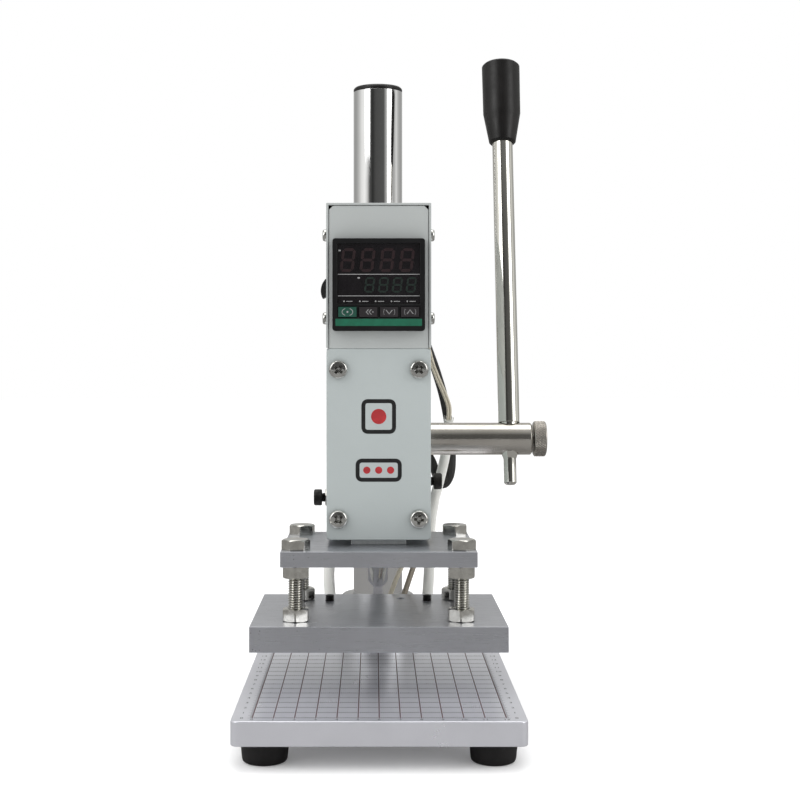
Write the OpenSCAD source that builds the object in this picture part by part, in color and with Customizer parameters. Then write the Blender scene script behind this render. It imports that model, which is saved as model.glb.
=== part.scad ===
// Hot foil stamper: a small bench press. A heated plate hangs under a rack and pinion head that
// rides on an upright column, and a temperature controller sits on top of the head.
// Frame: origin at the centre of the bed, the base plate's top face, +X right, +Y back, +Z up.

/* [Base] */
// Width of the base plate, side to side
base_w = 140; // [136:1:190]
// Depth of the base plate, front to back
base_d = 245; // [245:1:320]
// Thickness of the base plate
base_t = 12; // [11:0.5:20]
// Radius of the base plate's upright corners
base_corner_r = 4; // [1:0.5:10]
// Height of each rubber foot
foot_h = 12; // [9:0.5:20]
// Diameter of a foot where it meets the base plate
foot_d = 24; // [16:0.5:26]
// Diameter of a foot where it stands on the bench
foot_tip_d = 22; // [14:0.5:24]
// Distance from the plate's side edge to a foot's centre
foot_inset_x = 15; // [14:0.5:30]
// Distance from the plate's front or rear edge to a foot's centre
foot_inset_y = 20; // [14:0.5:30]

/* [Column] */
// Outside diameter of the column tube
column_d = 30; // [24:0.5:34]
// Wall of the column tube
column_wall = 3; // [2:0.5:5]
// Length of the column tube above the base plate
column_len = 334; // [300:1:420]
// Distance from the base plate's centre back to the column axis
column_y = 92; // [90:0.5:98]
// Thickness of the cap's rim on top of the column
cap_rim_t = 3; // [2:0.5:6]
// Outside diameter of the turned collar at the foot of the column
seat_d = 45; // [44:0.5:56]
// Height of the collar
seat_h = 25; // [15:0.5:40]

/* [Heating plate] */
// Clear height between the base plate and the raised heating plate
bed_gap = 22.5; // [22.5:0.5:40]
// Width of the heating plate
hot_w = 130; // [112:1:132]
// Depth of the heating plate
hot_d = 100; // [88:1:110]
// Thickness of the heating plate
hot_t = 13; // [13:0.5:18]
// Diameter of each cartridge heater
heater_d = 10; // [8:0.5:10]
// Length of each cartridge heater
heater_len = 80; // [50:1:84]
// Distance of each heater from the centre line
heater_x = 27; // [20:0.5:32]
// Distance from the plate's rear edge to the heater locking screws
grub_inset = 21; // [12:0.5:30]

/* [Upper plate and levelling bolts] */
// Width of the upper plate
upper_w = 100; // [100:1:110]
// Depth of the upper plate
upper_d = 85; // [82:1:96]
// Thickness of the upper plate
upper_t = 8; // [8:0.5:14]
// Distance between the heating plate and the upper plate
plate_gap = 28.5; // [22:0.5:36]
// Spacing of the levelling bolts, side to side
bolt_span_x = 85; // [80:1:86]
// Spacing of the levelling bolts, front to back
bolt_span_y = 65; // [60:1:68]
// Thread diameter of the levelling bolts
bolt_d = 8; // [6:1:8]
// Width across the flats of their heads and nuts
bolt_af = 13; // [12:0.5:14]

/* [Head] */
// Width of the head
head_w = 54.5; // [54.5:0.5:62]
// Height of the head
head_h = 100; // [100:1:130]
// Gap between the upper plate and the head when the ram is raised
head_gap = 3; // [2:0.5:6]
// Distance from the column axis forward to the ram's centre
throat = 118; // [114:1:118]
// Wall of the head behind the column
head_back_wall = 7; // [6:0.5:7]
// Thickness of the front cover
cover_t = 3; // [2:0.5:5]
// Distance of a cover screw from the cover's side edge
cover_screw_inset_x = 6.25; // [6:0.25:6.5]
// Distance of a cover screw from the cover's top or bottom edge
cover_screw_inset_z = 11; // [8:0.5:18]

/* [Ram, rack and pinion] */
// Width of the ram
ram_w = 29; // [26:0.5:29]
// Depth of the ram, front to back
ram_d = 30; // [30:0.5:31]
// Length of the ram
ram_len = 88; // [85:1:88]
// Travel of the ram
ram_travel = 22; // [18:0.5:22]
// Thickness of the bronze strip in front of the ram
strip_t = 1.45; // [1:0.05:1.5]
// Module of the rack and pinion teeth
tooth_module = 1.5; // [1.4:0.05:1.5]
// Number of teeth on the pinion
pinion_teeth = 16; // [16:2:16]
// Width of the rack and of the pinion's teeth
tooth_w = 12; // [8:0.5:12]
// Height of the rack's pitch line above its back
rack_pitch_h = 11; // [10:0.5:11]
// Height of the pinion axis above the bottom of the head
pinion_h = 49.7; // [46:0.1:52]

/* [Lever] */
// Diameter of the shaft outside the head
shaft_d = 18; // [17:0.5:20]
// Diameter of the shaft's journals in their bushes
journal_d = 14; // [12:0.5:14]
// Distance from the centre line to the shaft's outer end
shaft_end_x = 85.9; // [84:0.5:100]
// Distance from the shaft's outer end in to the lever
lever_inset = 12.3; // [11:0.1:16]
// Diameter of the lever rod
rod_d = 12; // [11:0.5:14]
// Diameter of the lever rod's section in the shaft
rod_neck_d = 10; // [8:0.5:10]
// Diameter of the lever rod's lower stub
stub_d = 7; // [5:0.5:8]
// Length of the lever rod below the shaft axis
stub_len = 26; // [20:0.5:40]
// Distance from the shaft axis to the lower end of the grip
grip_start = 177.5; // [120:0.5:220]
// Length of the grip
grip_len = 51; // [40:0.5:80]
// Diameter of the grip at its upper end
grip_d = 22.5; // [20:0.5:28]
// Diameter of the grip at its lower end
grip_tip_d = 15.7; // [15:0.1:20]
// Lean of the raised lever, back from upright, in degrees
lever_lean = 14; // [0:1:25]
// Diameter of the knurled clamping knob
knob_d = 20; // [14:0.5:26]
// Thickness of the clamping knob
knob_t = 7; // [4:0.1:10]

/* [Controller box] */
// Width of the box
box_w = 54.8; // [54.8:0.1:62]
// Height of the box
box_h = 75.6; // [75:0.1:90]
// Depth of the box
box_d = 115; // [108:1:115]
// Thickness of the box's sheet metal cover
sheet_t = 1.2; // [0.8:0.1:1.5]
// Thickness of the box's front and rear panels
panel_t = 1.5; // [1:0.1:2]
// Width and height of the temperature controller's bezel
bezel_w = 48; // [48:0.5:49]
// How far the bezel stands in front of the panel
bezel_t = 6; // [6:0.5:9]
// Distance from the box's bottom to the bezel's lower edge
bezel_lift = 9; // [6:0.5:12]
// Length of the controller's case behind the panel
case_len = 58; // [50:1:60]
// Diameter of the rocker switch's bezel
switch_d = 21; // [21:0.5:24]
// Distance of the rocker switch behind the base plate's centre
switch_y = 42; // [40:0.5:46]

/* [Hidden] */
$fn = 64;

// Small overrun that makes a cut pass clean through a face
eps = 0.5;
// Radial clearance of a shaft in its bush, and of the column in its bore
run_fit = 0.03;
// Radial clearance of a screw or pin in its threaded or reamed hole
seat_fit = 0.04;
// Side clearance of the sliding ram
slide_fit = 0.05;
// Clearance all round a screw in a plain hole
hole_fit = 0.25;
// How much deeper a hole is than the screw or heater in it
hole_extra = 1;

// Levels, from the bench up
base_top = 0;
under_z = base_top - base_t;
bench_z = under_z - foot_h;
hot_z0 = base_top + bed_gap;
hot_z1 = hot_z0 + hot_t;
upper_z0 = hot_z1 + plate_gap;
upper_z1 = upper_z0 + upper_t;
head_z0 = upper_z1 + head_gap;
head_z1 = head_z0 + head_h;
column_z1 = base_top + column_len;
pinion_z = head_z0 + pinion_h;

// Places, front to back
press_y = column_y - throat;
ram_y0 = press_y - ram_d / 2;
ram_y1 = press_y + ram_d / 2;
head_y0 = ram_y0 - strip_t - slide_fit;
cover_y0 = head_y0 - cover_t;
head_y1 = column_y + column_d / 2 + head_back_wall;
pitch_r = tooth_module * pinion_teeth / 2;
pitch_y = ram_y1 + rack_pitch_h;
pinion_y = pitch_y + pitch_r;

// Teeth: a stub rack, and a pinion with involute flanks
pressure_angle = 20;
backlash = 0.16;
tip_r = pitch_r + tooth_module;
root_r = pitch_r - 1.25 * tooth_module;
base_circle_r = pitch_r * cos(pressure_angle);
rack_addendum = 0.8 * tooth_module;
rack_dedendum = 1.25 * tooth_module;
tooth_pitch = PI * tooth_module;
flank_steps = 5;

// Rack, in the raised position
rack_below = 18;
rack_above = 34;
rack_z0 = pinion_z - rack_below;
rack_z1 = pinion_z + rack_above;
rack_screw_d = 4;
rack_screw_head_d = 7;
rack_screw_head_h = 4;
rack_screw_inset = 5;
rack_screw_depth = 11;
rack_web = 5;

// Head: rear corners and cavities
rear_r = 10;
channel_top = 6;
channel_z1 = head_z1 - channel_top;
slot_clear = 0.5;
strip_inset = 4;
cavity_clear = 2;
cavity_left = tooth_w / 2 + 1;
hub_len = 6;
hub_d = 20;
cavity_right = tooth_w / 2 + hub_len + 1;
bush_wall = 2;
bush_d = journal_d + 2 * bush_wall;
ring_t = 1.2;
ring_recess = 3;
ring_d = 21;
ring_room = 1;
ring_side_gap = 0.1;
ring_gap_w = 4;
ring_groove = 1;
shaft_gap = 0.2;
gear_pin_d = 3;
pin_inset = 0.5;

// Column fixings
plug_h = 25;
column_bolt_d = 8;
column_bolt_head_d = 13;
column_bolt_head_h = 5.5;
column_bolt_web = 5.5;
column_bolt_bite = 19;
seat_screw_d = 4;
seat_screw_head_d = 7;
seat_screw_head_h = 4;
seat_screw_web = 6.5;
seat_screw_bite = 12;
seat_screw_count = 3;
seat_screw_r = (column_d + seat_d) / 4;
seat_chamfer = 1.5;
cap_plug_h = 10;

// Feet fixings
foot_screw_d = 5;
foot_screw_head_d = 9;
foot_screw_head_h = 3.2;
foot_web = 6;
foot_edge_r = 2;
foot_edge_steps = 3;
foot_screw_bite = 8;

// Screws that lock the head on the column: [side, height above the head's bottom]
lock_screw_d = 6;
lock_head_d = 10;
lock_head_h = 5;
lock_nut_af = 10;
lock_nut_h = 5.2;
lock_head_gap = 2.05;
lock_tip_gap = 0.3;
lock_places = [[-1, 9], [1, 19]];

// Levelling bolts
bolt_head_h = 5.3;
nut_h = 6.5;
bolt_bite = 10.5;
bolt_hole_floor = 0.5;
hex_turns = [8, 22, -14, 30];
grub_d = 5;
grub_proud = 3;
spare_hole_d = 4.7;
spare_hole_x = 12.5;
spare_hole_inset = 15;
spare_hole_depth = 8;
probe_x = 13.5;
earth_x = 5;
lead_hole_depth = 6;

// Screws that hold the upper plate to the ram
ram_screw_d = 5;
ram_screw_head_d = 8.5;
ram_screw_head_h = 5;
ram_screw_bite = 14;
ram_screw_span_x = 18;
ram_screw_span_y = 19;

// Return spring in the ram
spring_bore_d = 13;
spring_y = press_y - 6.5;
spring_d = 10;
spring_wire_d = 1.4;
spring_turns = 11;
spring_pin_d = 3;
spring_pin_drop = 4.5;
spring_floor = 24;
spring_pin_lift = 6;
spring_hook_len = 3;
spring_ring_steps = 9;
spring_sides = 6;
upper_pin_len = 36;
hook_r = spring_pin_d / 2 + spring_wire_d / 2 + 0.2;
spring_pin_z0 = upper_z1 + spring_floor + spring_pin_lift;
spring_pin_z1 = channel_z1 - spring_pin_drop;

// Front cover
cover_corner_r = 2.5;
cover_screw_d = 5;
cover_screw_head_d = 10;
cover_screw_head_h = 3.4;
cover_screw_bite = 8;

// Lever
lever_x = shaft_end_x - lever_inset;
rod_shoulder = shaft_d / 2 + 0.05;
cone_start = shaft_d / 2 - 1.5;
cone_len = 4;
grip_mid = 19;
grip_mid_d = 22;
grip_bore_depth = 42.5;
grip_lip = 1;
clamp_screw_d = 6;
clamp_tip_gap = 0.3;
knob_gap = 1;
knob_teeth = 40;
knob_tooth_h = 0.45;
clamp_screw_inset = 0.5;

// Controller box
box_z0 = head_z1;
cover_lift = 0.3;
box_z1 = box_z0 + cover_lift + box_h;
box_y0 = cover_y0 - 0.5;
box_y1 = box_y0 + box_d;
panel_inset = 0.6;
box_gap = 0.2;
inner_x = box_w / 2 - sheet_t - box_gap;
panel_z1 = box_z1 - sheet_t - box_gap;
panel_y = box_y0 + panel_inset;
rear_y = box_y1 - panel_inset;
panel_chamfer = 2.2;
tab_len = 14;
box_screw_d = 3;
box_screw_head_d = 6.4;
box_screw_head_h = 2.4;
box_screw_len = 4.4;
box_screw_inset = 13;
box_screw_heights = [16, 60];
chassis_screw_d = 4;
chassis_screw_head_d = 7;
chassis_screw_head_h = 2.6;
chassis_screw_bite = 5;
chassis_screw_x = 20.5;
chassis_screw_inset = 30;
gland_x = -15;
gland_lift = 59;
gland_d = 12;
gland_bore_d = 6.6;
gland_af = 15;
gland_nut_h = 4;
gland_out = 7.5;
gland_in = 8;
gland_dome_d0 = 13;
gland_dome_d1 = 10;
grommet_x = 19;
// Heights of the lead grommets above the box's bottom, and the diameters of their leads
grommet_lifts = [7, 15.5, 24.5, 34];
grommet_bores = [3.2, 3.2, 5.6, 2.8];
grommet_lip = 1;
grommet_wall = 1.1;

// Temperature controller
bezel_z0 = box_z0 + bezel_lift;
bezel_y0 = panel_y - bezel_t;
bezel_mid_z = bezel_z0 + bezel_w / 2;
bezel_front = 1.5;
bezel_corner_r = 1.5;
case_w = bezel_w - 3.5;
case_wall = 1.2;
case_lap = 3;
case_fit = 0.1;
cutout_gap = 0.25;
window_w = 43;
window_h = 31.5;
window_lift = 14;
window_lap = 0.8;
key_w = 9.4;
key_h = 5.2;
key_pitch = 10.8;
key_lift = 7.2;
key_proud = 0.6;
key_gap = 0.2;
key_flange = 0.4;
key_flange_t = 1;
key_travel = 0.5;
key_stem_w = 3;
key_back_gap = 0.1;
switch_stack = 1.9;
key_switch_w = 4;
board_w = 40;
board_t = 1.6;
board_back = 1;
display_h = 3.8;
display_sizes = [[36, 12, 30.5, 0], [24, 9, 18.8, 6]];
main_board_len = 50;
main_board_x = -12;
relay_size = [14, 26, 20];
terminal_w = 41;
terminal_t = 9;
terminal_cols = 4;
terminal_rows = 3;
terminal_pitch = 9.5;
terminal_row_pitch = 12.5;
terminal_screw_d = 6;

// Rocker switch
switch_lift = 34;
switch_rim = 2;
switch_body_d = 18.6;
switch_body_len = 17;
rocker_r = 10;
rocker_proud = 5.9;
rocker_w = 10;
rocker_half_angle = 36;
rocker_tilt = 9;
rocker_side_gap = 0.3;
rocker_hub_r = 3.6;
rocker_window_h = 15.6;
rocker_window_depth = 12;
switch_x = -box_w / 2;
rocker_x = switch_x - rocker_proud + rocker_r;

// Clip that holds the left heater's lead behind the head
clip_x = -20.5;
clip_w = 12;
clip_h = 12;
clip_lift = 29;
clip_depth = 8.5;
clip_screw_x = -9;
clip_bore_d = 7.2;
clip_bore_y = 4;

// Leads: diameter and the points that each one passes through
sleeve_d = 7;
wire_d = 3.2;
sheath_d = 5.6;
earth_d = 2.8;
left_sleeve_points = [[-27, 24, 29], [-27, 30, 29], [-28, 40, 33], [-29, 52, 42], [-28.5, 68, 51],
    [-26.5, 86, 55], [-24, 102, 57.5], [-22, 115, 64], [-21, 118.5, 74], [-20.5, 118, 88],
    [-20.5, 118, 96], [-20.5, 118, 110]];
right_sleeve_points = [[27, 24, 29], [27, 30, 29], [28.5, 38, 32], [30, 52, 43], [31, 68, 56],
    [32.5, 86, 70], [35.5, 102, 82], [39, 108, 94], [42.3, 109, 108], [44, 108, 121],
    [44.5, 106, 131]];
right_wire_points = [[44.5, 106, 131], [44.6, 104.4, 139], [42, 103.5, 147], [38, 102.5, 156],
    [34, 100, 166], [31, 95, 176], [27, 86, 186], [21.5, 78, 190.5], [19, 73, 190.5],
    [19, 69.4, 190.5]];
probe_points = [[13.5, 18, 29], [13.5, 28, 29], [15, 36, 33], [19, 46, 43], [25, 58, 58],
    [29.5, 70, 72], [30.5, 78, 86], [30.5, 82, 111], [30.5, 83, 138], [30.5, 83, 164],
    [29, 81, 176], [23, 77, 182], [19, 73, 182], [19, 69.4, 182]];
earth_points = [[5, 18, 29], [5, 27, 29], [6.5, 34, 32], [11, 43, 42], [18, 53, 55], [26.5, 61, 66],
    [30, 68, 75], [30, 72, 106], [30, 73, 141], [30.5, 75, 181], [29.5, 78, 200],
    [24, 78, 208], [19, 74, 209], [19, 69.4, 209]];
sheath_points = [[19, 69.4, 199.5], [19, 74, 199.5], [21, 82, 198], [26, 94, 190],
    [31, 103, 177], [37, 111, 161], [42, 114.5, 144], [45.5, 115.5, 124], [46.8, 115.5, 106],
    [45.5, 115.5, 95], [41.5, 116, 90], [37.5, 116.5, 95.5], [33.5, 117, 106], [24, 118, 119],
    [6, 118, 128], [-12, 118, 134], [-19, 118, 130], [-20.5, 118, 123], [-20.5, 118, 111]];

// ---------------------------------------------------------------- shared shapes

// Upright box from its lowest corner and its highest corner
module block(low, high) {
    translate(low) cube(high - low);
}

// Cylinder along +Y that starts at the given point
module along_y(p, d, len) {
    translate(p) rotate([-90, 0, 0]) cylinder(h = len, d = d);
}

// Cylinder along +X that starts at the given point
module along_x(p, d, len) {
    translate(p) rotate([0, 90, 0]) cylinder(h = len, d = d);
}

// Flat rectangle with round corners, centred
module round_rect(w, d, r) {
    square([w - 2 * r, d], center = true);
    square([w, d - 2 * r], center = true);
    for (x = [-1, 1], y = [-1, 1])
        translate([x * (w / 2 - r), y * (d / 2 - r)]) circle(r);
}

// Hexagonal prism on its base, with its corners chamfered above, or at both ends
module hex_body(af, h, both = false) {
    corner_r = af / sqrt(3);
    face_r = af / 2 * 0.97;
    slope_h = (corner_r - face_r) * 0.55;
    over = 0.01;
    base = both ? [[0, 0], [face_r, 0], [corner_r + over, slope_h]] : [[0, 0], [corner_r + over, 0]];
    intersection() {
        cylinder(h = h, r = corner_r, $fn = 6);
        rotate_extrude()
            polygon(concat(base, [[corner_r + over, h - slope_h], [face_r, h], [0, h]]));
    }
}

// Pan head on its base with a cross recess
module pan_head(d, h) {
    rim = h * 0.45;
    recess_w = d * 0.12;
    difference() {
        union() {
            cylinder(h = rim, d = d);
            translate([0, 0, rim]) cylinder(h = h - rim, d1 = d, d2 = d * 0.62);
        }
        for (a = [0, 90])
            rotate([0, 0, a])
                translate([-d * 0.24, -recess_w / 2, h * 0.4]) cube([d * 0.48, recess_w, h]);
    }
}

// Cylindrical head on its base with a hexagonal socket
module socket_head(d, h) {
    difference() {
        cylinder(h = h, d = d);
        translate([0, 0, h * 0.45]) cylinder(h = h, d = d * 0.55, $fn = 6);
    }
}

// Directions along a route, worked out at each of its points
function unit(v) = v / norm(v);
function heading(p, i) = unit(p[min(i + 1, len(p) - 1)] - p[max(i - 1, 0)]);
function sideways(t) = unit(cross(t, abs(t[2]) > 0.9 ? [0, 1, 0] : [0, 0, 1]));
function carry(u, t) = unit(u - (u * t) * t);
function frames(p, i = 0, u = undef) =
    i == len(p) ? [] :
    let (t = heading(p, i), n = is_undef(u) ? sideways(t) : carry(u, t))
    concat([[t, n]], frames(p, i + 1, n));

// Round tube along a route; the ends are cut square to the first and last stretches
module swept_tube(points, d, sides = 8) {
    f = frames(points);
    rings = [for (i = [0 : len(points) - 1], k = [0 : sides - 1])
        let (a = 360 * k / sides, n = f[i][1], b = cross(f[i][0], n))
        points[i] + d / 2 * (cos(a) * n + sin(a) * b)];
    last = (len(points) - 1) * sides;
    walls = [for (i = [0 : len(points) - 2], k = [0 : sides - 1])
        let (a = i * sides + k, b = i * sides + (k + 1) % sides)
        each [[a, a + sides, b], [b, a + sides, b + sides]]];
    polyhedron(points = rings, convexity = 8,
        faces = concat(walls, [[for (k = [0 : sides - 1]) k]],
                       [[for (k = [sides - 1 : -1 : 0]) last + k]]));
}

// ---------------------------------------------------------------- base and column

foot_places = [for (x = [-1, 1], y = [-1, 1])
    [x * (base_w / 2 - foot_inset_x), y * (base_d / 2 - foot_inset_y)]];
seat_screw_places = [for (i = [0 : seat_screw_count - 1])
    let (a = 90 + 360 * i / seat_screw_count)
    [seat_screw_r * cos(a), column_y + seat_screw_r * sin(a)]];

module base_plate() {
    color([0.66, 0.66, 0.71])
    difference() {
        translate([0, 0, under_z])
            linear_extrude(base_t) round_rect(base_w, base_d, base_corner_r);
        for (p = foot_places)
            translate([p[0], p[1], under_z - eps])
                cylinder(h = foot_screw_bite + hole_extra + eps, d = foot_screw_d + 2 * seat_fit);
        translate([0, column_y, under_z - eps])
            cylinder(h = base_t + 2 * eps, d = column_bolt_d + 2 * hole_fit);
        translate([0, column_y, under_z - eps])
            cylinder(h = base_t - column_bolt_web + eps, d = column_bolt_head_d + 4 * hole_fit);
        for (p = seat_screw_places) {
            translate([p[0], p[1], under_z - eps])
                cylinder(h = base_t + 2 * eps, d = seat_screw_d + 2 * hole_fit);
            translate([p[0], p[1], under_z - eps])
                cylinder(h = base_t - seat_screw_web + eps, d = seat_screw_head_d + 2 * hole_fit);
        }
    }
}

module rubber_feet() {
    color([0.1, 0.1, 0.1])
    for (p = foot_places)
        translate([p[0], p[1], bench_z])
            difference() {
                rotate_extrude()
                    polygon(concat([[0, 0]],
                        [for (i = [0 : foot_edge_steps])
                            let (a = 90 * i / foot_edge_steps)
                            [foot_tip_d / 2 + foot_edge_r * (sin(a) - 1), foot_edge_r * (1 - cos(a))]],
                        [[foot_d / 2, foot_h], [0, foot_h]]));
                translate([0, 0, -eps])
                    cylinder(h = foot_h - foot_web + eps, d = foot_screw_head_d + 2 * hole_fit);
                translate([0, 0, -eps])
                    cylinder(h = foot_h + 2 * eps, d = foot_screw_d + 2 * hole_fit);
            }
}

module foot_screws() {
    color([0.8, 0.8, 0.8])
    for (p = foot_places)
        translate([p[0], p[1], under_z - foot_web]) {
            rotate([180, 0, 0]) pan_head(foot_screw_head_d, foot_screw_head_h);
            cylinder(h = foot_web + foot_screw_bite, d = foot_screw_d);
        }
}

module column_seat() {
    color([0.75, 0.75, 0.75])
    translate([0, column_y, base_top])
        difference() {
            rotate_extrude()
                polygon([[column_d / 2 + run_fit, 0], [seat_d / 2, 0],
                         [seat_d / 2, seat_h - seat_chamfer], [seat_d / 2 - seat_chamfer, seat_h],
                         [column_d / 2 + run_fit, seat_h]]);
            for (p = seat_screw_places)
                translate([p[0], p[1] - column_y, -eps])
                    cylinder(h = seat_screw_bite + hole_extra + eps, d = seat_screw_d + 2 * seat_fit);
        }
}

module seat_screws() {
    color([0.2, 0.2, 0.2])
    for (p = seat_screw_places)
        translate([p[0], p[1], base_top - seat_screw_web]) {
            rotate([180, 0, 0]) socket_head(seat_screw_head_d, seat_screw_head_h);
            cylinder(h = seat_screw_web + seat_screw_bite, d = seat_screw_d);
        }
}

module column_tube() {
    color([0.85, 0.85, 0.85])
    translate([0, column_y, base_top])
        difference() {
            cylinder(h = column_len, d = column_d);
            translate([0, 0, -eps])
                cylinder(h = column_len + 2 * eps, d = column_d - 2 * column_wall);
        }
}

module column_cap() {
    color([0.08, 0.08, 0.08])
    translate([0, column_y, column_z1]) {
        rotate_extrude()
            polygon([[0, 0], [column_d / 2, 0], [column_d / 2, cap_rim_t * 0.6],
                     [column_d / 2 - cap_rim_t * 0.4, cap_rim_t], [0, cap_rim_t]]);
        translate([0, 0, -cap_plug_h])
            cylinder(h = cap_plug_h, d = column_d - 2 * column_wall - 2 * seat_fit);
    }
}

module column_plug() {
    color([0.6, 0.6, 0.6])
    translate([0, column_y, base_top])
        difference() {
            cylinder(h = plug_h, d = column_d - 2 * column_wall - 2 * seat_fit);
            translate([0, 0, -eps])
                cylinder(h = column_bolt_bite + hole_extra + eps, d = column_bolt_d + 2 * seat_fit);
        }
}

module column_bolt() {
    color([0.2, 0.2, 0.2])
    translate([0, column_y, base_top - column_bolt_web]) {
        rotate([180, 0, 0]) socket_head(column_bolt_head_d, column_bolt_head_h);
        cylinder(h = column_bolt_web + column_bolt_bite, d = column_bolt_d);
    }
}

// ---------------------------------------------------------------- head

cover_screw_places = [for (x = [-1, 1], z = [-1, 1])
    [x * (head_w / 2 - cover_screw_inset_x),
     head_z0 + head_h / 2 + z * (head_h / 2 - cover_screw_inset_z)]];
chassis_screw_places = [for (x = [-1, 1], y = [box_y0 + chassis_screw_inset, box_y1 - chassis_screw_inset])
    [x * chassis_screw_x, y]];

module head_body() {
    color([0.72, 0.75, 0.76])
    difference() {
        translate([0, 0, head_z0])
            linear_extrude(head_h) {
                translate([-head_w / 2, head_y0]) square([head_w, head_y1 - head_y0 - rear_r]);
                translate([rear_r - head_w / 2, head_y0])
                    square([head_w - 2 * rear_r, head_y1 - head_y0]);
                for (x = [-1, 1])
                    translate([x * (head_w / 2 - rear_r), head_y1 - rear_r]) circle(rear_r);
            }
        // Channel of the ram, open to the front and below
        block([-ram_w / 2 - slide_fit, head_y0 - eps, head_z0 - eps],
              [ram_w / 2 + slide_fit, ram_y1 + slide_fit, channel_z1]);
        // Slot of the rack
        block([-tooth_w / 2 - slot_clear, ram_y1, rack_z0 - ram_travel - cavity_clear],
              [tooth_w / 2 + slot_clear, pinion_y, channel_z1]);
        // Cavity of the pinion
        along_x([-cavity_left, pinion_y, pinion_z], 2 * (tip_r + cavity_clear),
                cavity_left + cavity_right);
        // Bores of the bushes and recess of the retaining ring
        along_x([-head_w / 2 - eps, pinion_y, pinion_z], bush_d, head_w + 2 * eps);
        along_x([-head_w / 2 - eps, pinion_y, pinion_z], ring_d + 2 * ring_room, ring_recess + eps);
        // Bore of the column
        translate([0, column_y, head_z0 - eps])
            cylinder(h = head_h + 2 * eps, d = column_d + 2 * run_fit);
        // Threaded holes
        for (p = lock_places)
            translate([0, column_y, head_z0 + p[1]]) rotate([0, 90 * p[0], 0])
                cylinder(h = head_w, d = lock_screw_d + 2 * seat_fit);
        for (p = cover_screw_places)
            along_y([p[0], head_y0 - eps, p[1]], cover_screw_d + 2 * seat_fit,
                    cover_screw_bite + hole_extra + eps);
        for (p = chassis_screw_places)
            translate([p[0], p[1], head_z1 - chassis_screw_bite - hole_extra])
                cylinder(h = chassis_screw_bite + hole_extra + eps, d = chassis_screw_d + 2 * seat_fit);
        along_y([clip_screw_x, head_y1 - cover_screw_bite - seat_fit, head_z0 + clip_lift + clip_h / 2],
                cover_screw_d + 2 * seat_fit, cover_screw_bite + hole_extra);
        // Holes of the upper spring pin
        along_x([-upper_pin_len / 2 - seat_fit, spring_y, spring_pin_z1],
                spring_pin_d + 2 * seat_fit, upper_pin_len + 2 * seat_fit);
    }
}

module front_cover() {
    color([0.73, 0.76, 0.77])
    difference() {
        translate([0, head_y0, head_z0 + head_h / 2])
            rotate([90, 0, 0]) linear_extrude(cover_t) round_rect(head_w, head_h, cover_corner_r);
        for (p = cover_screw_places)
            along_y([p[0], cover_y0 - eps, p[1]], cover_screw_d + 2 * hole_fit, cover_t + 2 * eps);
    }
}

module pan_screw() {
    rotate([90, 0, 0]) pan_head(cover_screw_head_d, cover_screw_head_h);
    rotate([-90, 0, 0]) cylinder(h = cover_t + cover_screw_bite, d = cover_screw_d);
}

module pan_screws() {
    color([0.85, 0.85, 0.83]) {
        for (p = cover_screw_places)
            translate([p[0], cover_y0, p[1]]) pan_screw();
        translate([clip_screw_x, head_y1 + cover_t, head_z0 + clip_lift + clip_h / 2])
            rotate([0, 0, 180]) pan_screw();
    }
}

module guide_strip() {
    color([0.7, 0.52, 0.3])
        block([-ram_w / 2, head_y0, head_z0 + strip_inset],
              [ram_w / 2, head_y0 + strip_t, channel_z1 - strip_inset]);
}

module pinion_bushes() {
    left_x = ring_recess - head_w / 2;
    color([0.72, 0.55, 0.32])
    for (span = [[left_x, -cavity_left], [cavity_right, head_w / 2]])
        difference() {
            along_x([span[0], pinion_y, pinion_z], bush_d - 2 * seat_fit, span[1] - span[0]);
            along_x([span[0] - eps, pinion_y, pinion_z], journal_d + 2 * run_fit,
                    span[1] - span[0] + 2 * eps);
        }
}

module lock_screws() {
    tip = column_d / 2 + lock_tip_gap;
    under_head = head_w / 2 + lock_nut_h + lock_head_gap;
    color([0.12, 0.12, 0.12])
    for (p = lock_places)
        translate([0, column_y, head_z0 + p[1]]) rotate([0, 90 * p[0], 0]) {
            translate([0, 0, tip]) cylinder(h = under_head - tip, d = lock_screw_d);
            translate([0, 0, under_head]) socket_head(lock_head_d, lock_head_h);
        }
}

module lock_nuts() {
    color([0.8, 0.8, 0.8])
    for (p = lock_places)
        translate([0, column_y, head_z0 + p[1]]) rotate([0, 90 * p[0], 0])
            translate([0, 0, head_w / 2])
                difference() {
                    hex_body(lock_nut_af, lock_nut_h, both = true);
                    translate([0, 0, -eps])
                        cylinder(h = lock_nut_h + 2 * eps, d = lock_screw_d + 2 * seat_fit);
                }
}

module spring_pin_upper() {
    color([0.7, 0.7, 0.7])
        along_x([-upper_pin_len / 2, spring_y, spring_pin_z1], spring_pin_d, upper_pin_len);
}

module lead_clip() {
    z0 = head_z0 + clip_lift;
    color([0.9, 0.9, 0.88])
    difference() {
        union() {
            block([clip_x - clip_w / 2, head_y1, z0],
                  [clip_x + clip_w / 2, head_y1 + clip_depth, z0 + clip_h]);
            block([clip_x, head_y1, z0],
                  [clip_screw_x + clip_w / 2, head_y1 + cover_t, z0 + clip_h]);
        }
        translate([clip_x, head_y1 + clip_bore_y, z0 - eps])
            cylinder(h = clip_h + 2 * eps, d = clip_bore_d);
        along_y([clip_screw_x, head_y1 - eps, z0 + clip_h / 2], cover_screw_d + 2 * hole_fit,
                cover_t + 2 * eps);
    }
}

// ---------------------------------------------------------------- controller box

box_screw_places = [for (side = [-1, 1], y = [box_y0 + box_screw_inset, box_y1 - box_screw_inset],
                         h = box_screw_heights)
    [side, y, box_z0 + h]];
switch_place = [switch_x, switch_y, box_z0 + switch_lift];

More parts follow.
